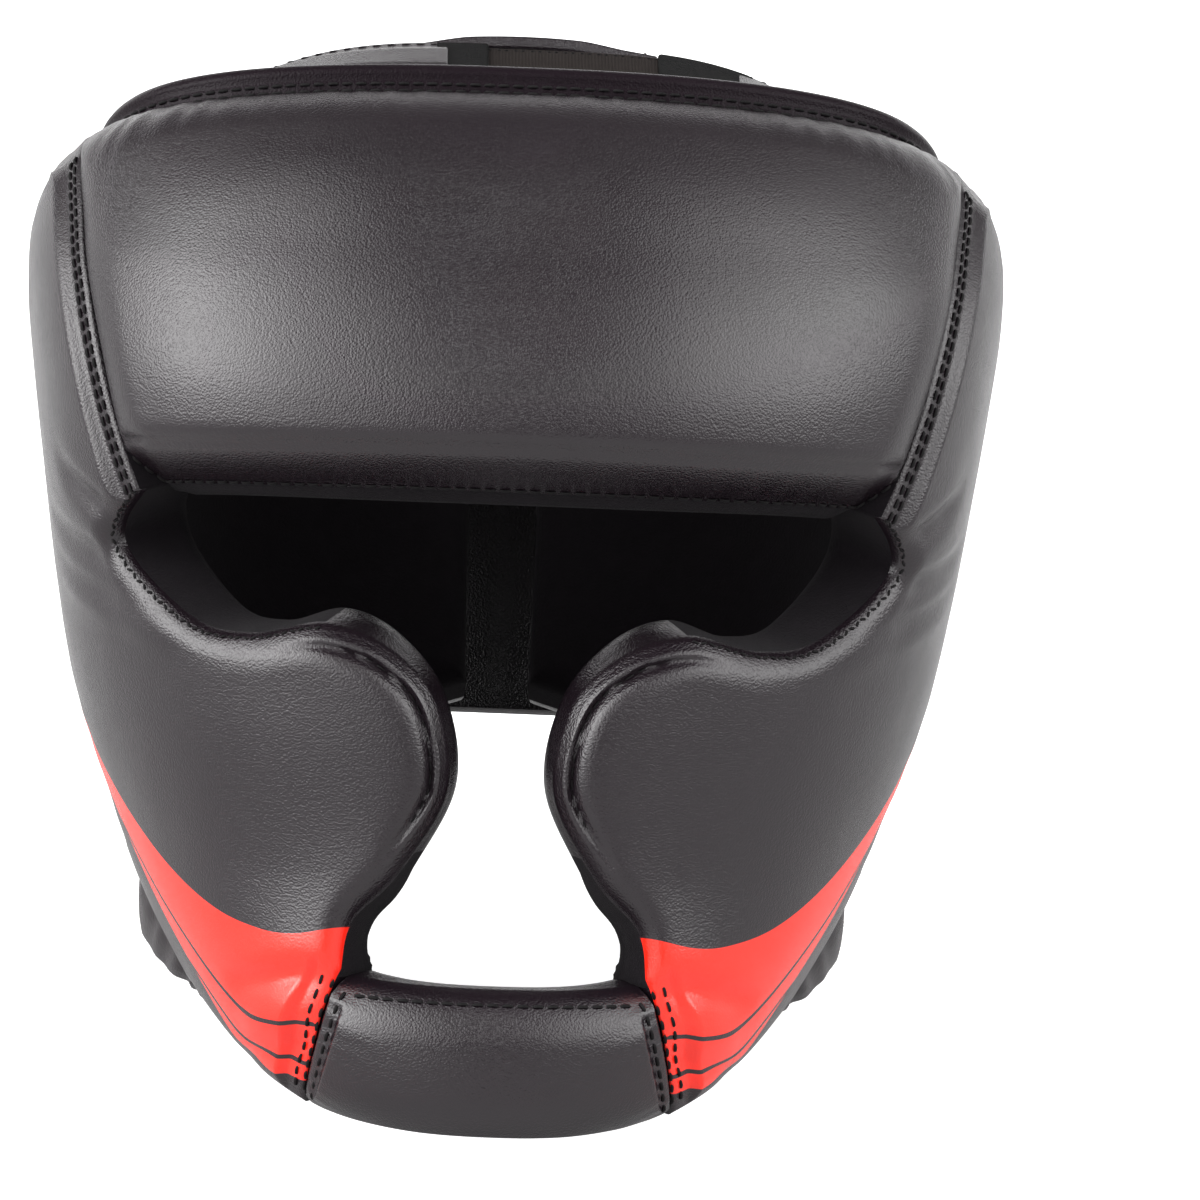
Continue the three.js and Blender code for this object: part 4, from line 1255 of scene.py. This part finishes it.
# Straps, flaps, rim and bindings, from primitives whose points are moved to places in the standing frame
def shaped_piece(name, material, place):
    piece = bpy.context.object
    piece.name = name
    piece.data.name = name
    points = np.zeros(len(piece.data.vertices) * 3)
    piece.data.vertices.foreach_get("co", points)
    piece.data.vertices.foreach_set("co", (place(points.reshape(-1, 3)) * MM).ravel())
    piece.data.update()
    piece.data.materials.append(material)
    return piece


def grid_piece(name, counts, place, material):
    """A grid whose points go to place(s, t)."""
    bpy.ops.object.select_all(action="DESELECT")
    bpy.ops.mesh.primitive_grid_add(x_subdivisions=counts[0], y_subdivisions=counts[1], size=1)
    return shaped_piece(name, material, lambda flat: place(flat[:, 0] + 0.5, flat[:, 1] + 0.5))


def edit_faces(piece, operator, **options):
    """Runs an operator on all faces of a piece."""
    select_only(piece)
    bpy.ops.object.mode_set(mode="EDIT")
    bpy.ops.mesh.select_all(action="SELECT")
    operator(**options)
    bpy.ops.object.mode_set(mode="OBJECT")


def torus_piece(name, counts, place, material):
    """A torus whose points go to place(turn, round)."""
    def ring_place(points):
        x, y, z = points.T
        return place(np.arctan2(y, x), np.arctan2(z, np.hypot(x, y) - 1))

    rounds, sides = counts
    bpy.ops.object.select_all(action="DESELECT")
    bpy.ops.mesh.primitive_torus_add(
        major_segments=rounds, minor_segments=sides, major_radius=1, minor_radius=0.3
    )
    piece = shaped_piece(name, material, ring_place)
    edit_faces(piece, bpy.ops.mesh.normals_make_consistent, inside=False)
    shade(piece, SMOOTH_ANGLE["ring"])
    return piece


def thicken(piece, thick):
    """Gives a sheet of leather its thickness and soft edges."""
    select_only(piece)
    wall = piece.modifiers.new("thickness", "SOLIDIFY")
    wall.thickness = thick * MM
    wall.offset = -1.0
    wall.use_even_offset = True
    bpy.ops.object.modifier_apply(modifier=wall.name)
    edge = piece.modifiers.new("soft_edges", "BEVEL")
    edge.width = SOFT_EDGE["width"] * MM
    edge.segments = SOFT_EDGE["segments"]
    edge.limit_method = "ANGLE"
    edge.angle_limit = math.radians(SOFT_EDGE["angle"])
    bpy.ops.object.modifier_apply(modifier=edge.name)
    shade(piece, SMOOTH_ANGLE["sheet"])
    return piece


def on_floor(place):
    return lambda s, t: standing(place(s, t))


def sewn_swell(edge, rise, flat=SEWN_EDGE["flat"], reach=SEWN_EDGE["reach"]):
    """Padding between two layers of leather, flat beside the sewn edge."""
    return rise * ease((edge - flat) / reach)


def rim_frame(turn):
    """Foot of the rim on the panels' top, and the direction outwards there."""
    outward = top_outward(turn)
    return shell_point(turn, top_height(turn)) - RIM["inset"] * outward, outward


def rim_place(turn, around):
    """The bound band: a flat band below and a rolled edge on top, with a groove between them."""
    foot, outward = rim_frame(turn)
    power = RIM["squareness"]
    c, s = np.cos(around), np.sin(around)
    radius = (np.abs(c) ** power + np.abs(s) ** power) ** (-1 / power)
    across = RIM["half"] * radius * c
    up = (RIM["tall"] + RIM["sunk"]) / 2 * (1 + radius * s) - RIM["sunk"]
    groove = RIM_GROOVE["depth"] * bell(up - RIM_GROOVE["height"], RIM_GROOVE["width"])
    band = RIM_GROOVE["step"] * ease((RIM_GROOVE["height"] - up) / RIM_GROOVE["step_width"])
    across = across - np.sign(across) * (groove + band)
    waves = RIM_RIPPLE["waves"] * turn + RIM_RIPPLE["drift"] * np.sin(RIM_RIPPLE["drift_waves"] * turn)
    low = ease((RIM_RIPPLE["height"] - up) / RIM_RIPPLE["height"])
    ripple = RIM_RIPPLE["size"] * np.sin(waves) * low
    return standing(foot + (across + ripple)[:, None] * outward + up[:, None] * RIM_NORMAL)


# The band uses the leather copy whose cut shine paints its shade
place_in_frame(torus_piece("crown_band", (300, 40), rim_place, shade_dulled_leather), "leather", "crown_rim")

rim_rows = Thread()
rim_foot, rim_outward = rim_frame(np.linspace(-math.pi, math.pi, 361))
for up in RIM_STITCH_ROWS:
    face = rim_foot + rim_outward * (RIM["half"] - RIM_GROOVE["step"])
    rim_rows.row(face + up * RIM_NORMAL, rim_outward, radius=0.4)
rim_rows.build("crown_band_stitches")


def crown_end(y):
    """Half length of the crown strap at y, where it ends short of the rim."""
    turns = np.array([turn_of({"y": v, "z": rim_height(v)}) for v in y])
    inward = (RIM["inset"] + RIM["half"]) / top_outward(turns)[..., 0]
    return shell_point(turns, rim_height(y))[..., 0] - inward - CROWN["end_gap"]


CROWN_YS = np.linspace(CROWN["front"] - 1, CROWN["back"] + 1, 13)
CROWN_ENDS = crown_end(CROWN_YS)
CROWN_WIDE = CROWN["back"] - CROWN["front"]


def crown_height(x, y):
    low = CROWN["top"] - LEATHER + CROWN["rise"] * (y - (CROWN["front"] + CROWN["back"]) / 2)
    share = np.abs(x) / np.interp(y, CROWN_YS, CROWN_ENDS)
    return low + (rim_height(y) + CROWN["end_lift"] - low) * share ** CROWN["roundness"]


def crown_strip(start, end, narrow, lift, wave):
    """place(s, t) of a piece of the strap over the crown; an end without an x meets the rim."""
    def place(s, t):
        y = CROWN["front"] + narrow + (CROWN_WIDE - 2 * narrow) * t
        ends = np.interp(y, CROWN_YS, CROWN_ENDS)
        a = -ends if start is None else start
        b = ends if end is None else end
        x = a + (b - a) * s
        d = SMALL_STEP
        slope_x = (crown_height(x + d, y) - crown_height(x - d, y)) / (2 * d)
        slope_y = (crown_height(x, y + d) - crown_height(x, y - d)) / (2 * d)
        normal = unit(np.stack([-slope_x, -slope_y, np.ones_like(x)], axis=-1))
        return np.stack([x, y, crown_height(x, y)], axis=-1) + normal * (lift + wave(t))[:, None]
    return place


def strap_swell(across):
    return sewn_swell(np.minimum(across, 1 - across) * CROWN_WIDE, STRAP_SWELL)


def rib_wave(across):
    return WEBBING["rib_rise"] * np.sin(across * 2 * math.pi * WEBBING["ribs"])


def flat_sheet(across):
    return np.zeros_like(across)


# Pieces of the crown strap: name, material, slot, node, x of the two ends, narrowing, lift, wave and grid
joint = CROWN_JOINTS
tape_right = (joint["right"] - TAPE["lap"], joint["webbing_right"] + TAPE["over_webbing"])
tape_left = (joint["webbing_left"] - TAPE["over_webbing"], joint["left"] + TAPE["lap"])
webbing_ends = (joint["webbing_right"] - WEBBING["lap"], joint["webbing_left"] + WEBBING["lap"])
webbing_grid = (50, WEBBING["rib_points"] * WEBBING["ribs"])
CROWN_PIECES = (
    ("crown_strap_right", shade_dulled_leather, "leather", "crown_flap_right",
     (None, joint["right"]), 0.0, LEATHER, strap_swell, (70, 48)),
    ("crown_tape_right", tape, "hook_and_loop", "crown_tab_right",
     tape_right, TAPE["narrow"], TAPE["lift"], flat_sheet, (14, 40)),
    ("crown_webbing", webbing, "webbing", "crown_elastic",
     webbing_ends, WEBBING["narrow"], WEBBING["lift"], rib_wave, webbing_grid),
    ("crown_tape_left", tape, "hook_and_loop", "crown_tab_left",
     tape_left, TAPE["narrow"], TAPE["lift"], flat_sheet, (20, 40)),
    ("crown_strap_left", shade_dulled_leather, "leather", "crown_flap_left",
     (joint["left"], None), 0.0, LEATHER, strap_swell, (44, 48)),
)
CROWN_STITCHES = {"leather": {"radius": 0.26}, "webbing": {"pitch": 1.9, "slant": 0.75, "radius": 0.32}}
CROWN_ROW_SHARES = (0.065, 0.935)
ROW_POINTS = 60
row_shares = np.linspace(0.02, 0.98, ROW_POINTS)

crown_rows = Thread()
for name, material, slot, node, ends, narrow, lift, wave, counts in CROWN_PIECES:
    place = crown_strip(*ends, narrow, lift, wave)
    piece = grid_piece(name, counts, on_floor(place), material)
    place_in_frame(thicken(piece, lift - SHEET_EASE), slot, node)
    if slot in CROWN_STITCHES:
        for share in CROWN_ROW_SHARES:
            points = place(row_shares, np.full(ROW_POINTS, share)) - np.array([0, 0, SHEET_EASE])
            normals = np.tile(unit(np.array([0, 0.25, 1.0])), (ROW_POINTS, 1))
            crown_rows.row(points, normals, **CROWN_STITCHES[slot])
crown_rows.build("crown_strap_stitches")

rear_curve = spline(REAR_LINE, REAR_STEPS)
rear_run = run_along(rear_curve)
rear_ahead = unit(np.gradient(rear_curve, axis=0))


def rear_strip(start, end, half, lift, wave):
    """place(s, t) of a piece of the strap down the back, from and to shares of its curve."""
    def place(s, t):
        x = (2 * s - 1) * half
        run = (start + (end - start) * t) * rear_run[-1]
        y, z = (np.interp(run, rear_run, rear_curve[:, c]) for c in (0, 1))
        ahead_y, ahead_z = (np.interp(run, rear_run, rear_ahead[:, c]) for c in (0, 1))
        up = lift + wave(s)
        return np.stack([x, y - ahead_z * up, z + ahead_y * up - REAR_FLAP["sag"] * x * x], axis=-1)
    return place


tape_start = REAR_FLAP["joint"] - REAR_FLAP["overlap"]
rear_leather = rear_strip(0, REAR_FLAP["joint"], REAR_FLAP["half"], 0, strap_swell)
rear_tape = rear_strip(tape_start, 1, REAR_FLAP["tab_half"], -REAR_FLAP["tab_drop"], flat_sheet)
piece = grid_piece("rear_strap", (60, 60), on_floor(rear_leather), leather)
place_in_frame(thicken(piece, LEATHER), "leather", "crown_flap_rear")
piece = grid_piece("rear_tape", (48, 40), on_floor(rear_tape), tape)
place_in_frame(thicken(piece, LEATHER), "hook_and_loop", "crown_tab_rear")

rear_rows = Thread()
rear_normals = np.tile(unit(np.array([0, 0.65, 0.76])), (ROW_POINTS, 1))
for share in (0.05, 0.95):
    rear_rows.row(rear_leather(np.full(ROW_POINTS, share), row_shares), rear_normals)
rear_across = np.linspace(0.05, 0.95, ROW_POINTS)
rear_rows.row(rear_leather(rear_across, np.full(ROW_POINTS, 0.95)), rear_normals)
rear_rows.build("rear_strap_stitches")


def nape_place(s, t):
    """The closing flap across the nape, its free end with round corners."""
    flap = NAPE_FLAP
    x = flap["left"] - (flap["left"] + flap["right"]) * s
    near = np.maximum(0, flap["corner"] - (x + flap["right"]))
    cut = flap["corner"] - np.sqrt(np.maximum(0, flap["corner"] ** 2 - near**2))
    z = flap["low"] + cut + (flap["high"] - flap["low"] - 2 * cut) * t
    turns = np.array([turn_of({"x": abs(a), "z": b, "nape": True}) for a, b in zip(x, z)])
    turns = np.where(x < 0, 2 * math.pi - turns, turns)
    edge = np.minimum(np.minimum(t, 1 - t) * NAPE_SWELL["high"], np.minimum(s, 1 - s) * NAPE_SWELL["long"])
    height = flap["off"] + LEATHER + sewn_swell(edge, NAPE_SWELL["rise"])
    return shell_point(turns, z) + shell_normal(turns, z) * height[:, None]


piece = grid_piece("nape_strap", (70, 52), on_floor(nape_place), leather)
place_in_frame(thicken(piece, LEATHER - SHEET_EASE), "leather", "nape_flap")

nape_rows = Thread()
NAPE_ROW_POINTS = 80
HEAD_MIDDLE = np.array([0, 150, 100.0])
along_flap = np.linspace(0.04, 0.96, NAPE_ROW_POINTS)
up_flap = np.linspace(0.08, 0.92, NAPE_ROW_POINTS)
nape_lines = [(along_flap, np.full(NAPE_ROW_POINTS, share)) for share in (0.05, 0.95)]
nape_lines.append((np.full(NAPE_ROW_POINTS, 0.965), up_flap))
for line in nape_lines:
    points = nape_place(*line)
    nape_rows.row(points, unit(points - HEAD_MIDDLE))
nape_rows.build("nape_strap_stitches")


def chin_strap_place(s, t):
    """The strap lies flat on the floor, broad at its two roots and narrow under the chin."""
    strap = CHIN_STRAP
    x = strap["half"] * (1 - 2 * s)
    blend = ease((np.abs(x) - CHIN_STRAP_FLARE["start"]) / CHIN_STRAP_FLARE["reach"])
    middle = strap["middle_y"] + (strap["root_y"] - strap["middle_y"]) * blend
    near = np.maximum(0, np.abs(x) - strap["half"] + strap["corner"])
    cut = strap["corner"] - np.sqrt(strap["corner"] ** 2 - near**2)
    wide = strap["wide"] + (strap["root"] - strap["wide"]) * blend - 2 * cut
    return np.stack([x, middle + (0.5 - t) * wide, np.full(len(x), float(strap["thick"]))], axis=-1)


piece = grid_piece("chin_strap_leather", (90, 24), chin_strap_place, leather)
place_in_frame(thicken(piece, CHIN_STRAP["thick"]), "leather", "chin_strap")


# Ear openings
def ear_depth(y, z, depth):
    turns = np.array([turn_of({"y": a, "z": b}) for a, b in zip(y, z)])
    return shell_point(turns, z) - shell_normal(turns, z) * depth[:, None]


def binding_place(angle, around):
    """Gathered lining cloth rolled round the opening."""
    ruffle = EAR_RUFFLE
    waves = ruffle["waves"] * angle + ruffle["drift"] * np.sin(ruffle["drift_waves"] * angle)
    fine = ruffle["fine"] * np.sin(ruffle["fine_waves"] * angle)
    radius = EAR_BINDING["radius"] + ruffle["size"] * np.sin(waves) + fine
    y, z = ear_outline(angle, -EAR_BINDING["inset"] + radius * np.cos(around))
    return standing(ear_depth(y, z, EAR_BINDING["depth"] - EAR_BINDING["tall"] * radius * np.sin(around)))


def ear_strap_place(s, t, half, depth):
    along = (2 * t - 1) * half
    reach = EAR_HOLE["half_short"] * np.sqrt(1 - (along / EAR_HOLE["half_long"]) ** 2) - EAR_STRAP["end_gap"]
    y, z = ear_place(along, (1 - 2 * s) * reach)
    return standing(ear_depth(y, z, np.broadcast_to(depth, y.shape)))


def ear_band(s, t):
    band = EAR_BAND
    swell = sewn_swell(np.minimum(t, 1 - t) * band["wide"], band["swell"], band["flat"], band["reach"])
    return ear_strap_place(s, t, band["half"], EAR_STRAP["depth"] - band["lift"] - swell)


def ear_backing(s, t):
    return ear_strap_place(s, t, EAR_STRAP["half"], EAR_STRAP["depth"] + EAR_STRAP["backing_drop"])


def mirrored(place, mirror):
    return (lambda s, t: place(s, t) * np.array([-1, 1, 1])) if mirror else place


for suffix, mirror in BOTH_SIDES:
    binding = torus_piece(f"ear_lining_{suffix}", (220, 14), mirrored(binding_place, mirror), lining)
    place_in_frame(binding, "lining", f"ear_binding_{suffix}")
    under = grid_piece(f"ear_strap_backing_{suffix}", (40, 20), mirrored(ear_backing, mirror), tape)
    over = grid_piece(f"ear_strap_leather_{suffix}", (40, 24), mirrored(ear_band, mirror), leather)
    if mirror:
        edit_faces(under, bpy.ops.mesh.flip_normals)
        edit_faces(over, bpy.ops.mesh.flip_normals)
    thicken(under, EAR_STRAP["backing_thick"])
    thicken(over, EAR_BAND["thick"])
    place_in_frame(over, "leather", f"ear_strap_{suffix}")
    place_in_frame(under, "hook_and_loop")

# Floor, light and camera: the studio's places and sizes are in metres, the camera's in millimetres
WHITE = (1, 1, 1, 1)
FLOOR_GREY = (0.45, 0.45, 0.45, 1)
FLOOR_SIZE = 12
STUDIO_MIDDLE = (0, 0, 0.12)
SOFTBOX = {"rise": 28, "distance": 1.5, "size": (0.9, 1.2)}
SOFTBOX_POWER = {"left": 8, "right": 4}
FLOOR_GLOW = {"light": 0.25, "seen": 0.95}
CAMERA = {"distance": 2200, "rise": 15, "turn": -0.6, "roll": 2.5, "lens": 277.9, "sensor": 36}
CAMERA_AIM = {"middle_z": 110, "right": 22.9, "up": -15.6}


def add_floor():
    bpy.ops.object.select_all(action="DESELECT")
    bpy.ops.mesh.primitive_plane_add(size=FLOOR_SIZE)
    floor = bpy.context.object
    floor.name = "floor"
    material, tree = new_material("pale_floor")
    inputs = tree.nodes["Principled BSDF"].inputs
    seen = tree.nodes.new("ShaderNodeLightPath").outputs["Is Camera Ray"]
    tree.feed(inputs["Base Color"], FLOOR_GREY)
    tree.feed(inputs["Roughness"], 0.9)
    tree.feed(inputs["Specular IOR Level"], 0.1)
    tree.feed(inputs["Emission Color"], WHITE)
    glow = tree.map_range(seen, 0, 1, FLOOR_GLOW["light"], FLOOR_GLOW["seen"])
    tree.feed(inputs["Emission Strength"], glow)
    floor.data.materials.append(material)


def aim(thing, target):
    direction = Vector(target) - thing.location
    thing.rotation_euler = direction.to_track_quat("-Z", "Y").to_euler()


def view_direction(turn, rise):
    """Direction from the middle to a place round the object: turn from the front to the viewer's right."""
    turn, rise = math.radians(turn), math.radians(rise)
    return Vector((math.sin(turn) * math.cos(rise), -math.cos(turn) * math.cos(rise), math.sin(rise)))


def add_softbox(name, turn, power):
    light = bpy.data.lights.new(name, "AREA")
    light.shape = "RECTANGLE"
    light.size, light.size_y = SOFTBOX["size"]
    light.energy = power
    box = bpy.data.objects.new(name, light)
    box.location = Vector(STUDIO_MIDDLE) + view_direction(turn, SOFTBOX["rise"]) * SOFTBOX["distance"]
    aim(box, STUDIO_MIDDLE)
    bpy.context.scene.collection.objects.link(box)


def add_lights():
    """A white studio: bright walls at both sides, a paler one behind, and dark above and before the face."""
    world = bpy.data.worlds.new("studio")
    bpy.context.scene.world = world
    world.use_nodes = True
    tree = NodeTree(world.node_tree)
    direction = tree.nodes.new("ShaderNodeTexCoord").outputs["Generated"]
    right, back, up = tree.add("ShaderNodeSeparateXYZ", {0: direction}).outputs

    def glow(axis, start, end, strength, least=0.0):
        """Light that goes from least to strength between two places on an axis."""
        return tree.map_range(axis, start, end, least, strength, smooth=True)

    def dimmed(light, share):
        return tree.math("MULTIPLY", light, share)

    def total(a, b):
        return tree.math("ADD", a, b)

    left_wall = total(glow(right, -0.13, -0.34, 3.3), glow(right, -0.5, -0.85, 2.0))
    left_wall = dimmed(left_wall, glow(up, 0.0, 0.25, 1.0, 0.45))
    right_wall = total(glow(right, 0.07, 0.24, 2.9), glow(right, 0.5, 0.95, 1.2))
    right_wall = dimmed(right_wall, glow(up, 0.05, 0.4, 1.0, 0.14))
    walls = dimmed(total(left_wall, right_wall), glow(back, 0.45, -0.1, 1.0))
    rear = dimmed(glow(back, 0.0, 0.6, 1.6), glow(up, 0.1, 0.5, 0.2, 1.0))
    background = tree.nodes["Background"].inputs
    tree.feed(background["Strength"], total(total(walls, rear), 0.05))
    tree.feed(background["Color"], WHITE)
    add_softbox("softbox_left", -75, SOFTBOX_POWER["left"])
    add_softbox("softbox_right", 72, SOFTBOX_POWER["right"])


def add_camera():
    away = view_direction(CAMERA["turn"], CAMERA["rise"])
    turn = math.radians(CAMERA["turn"])
    right = Vector((math.cos(turn), math.sin(turn), 0))
    up = right.cross(-away)
    middle = Vector((0, 0, CAMERA_AIM["middle_z"] * MM))
    data = bpy.data.cameras.new("camera")
    data.lens = CAMERA["lens"]
    data.sensor_width = CAMERA["sensor"]
    camera = bpy.data.objects.new("camera", data)
    camera.location = middle + away * CAMERA["distance"] * MM
    aim(camera, middle + right * CAMERA_AIM["right"] * MM + up * CAMERA_AIM["up"] * MM)
    camera.rotation_euler.rotate_axis("Z", math.radians(CAMERA["roll"]))
    bpy.context.scene.collection.objects.link(camera)
    bpy.context.scene.camera = camera


add_floor()
add_lights()
add_camera()
bpy.context.scene.view_settings.view_transform = "Standard"
bpy.context.scene.view_settings.gamma = 0.86
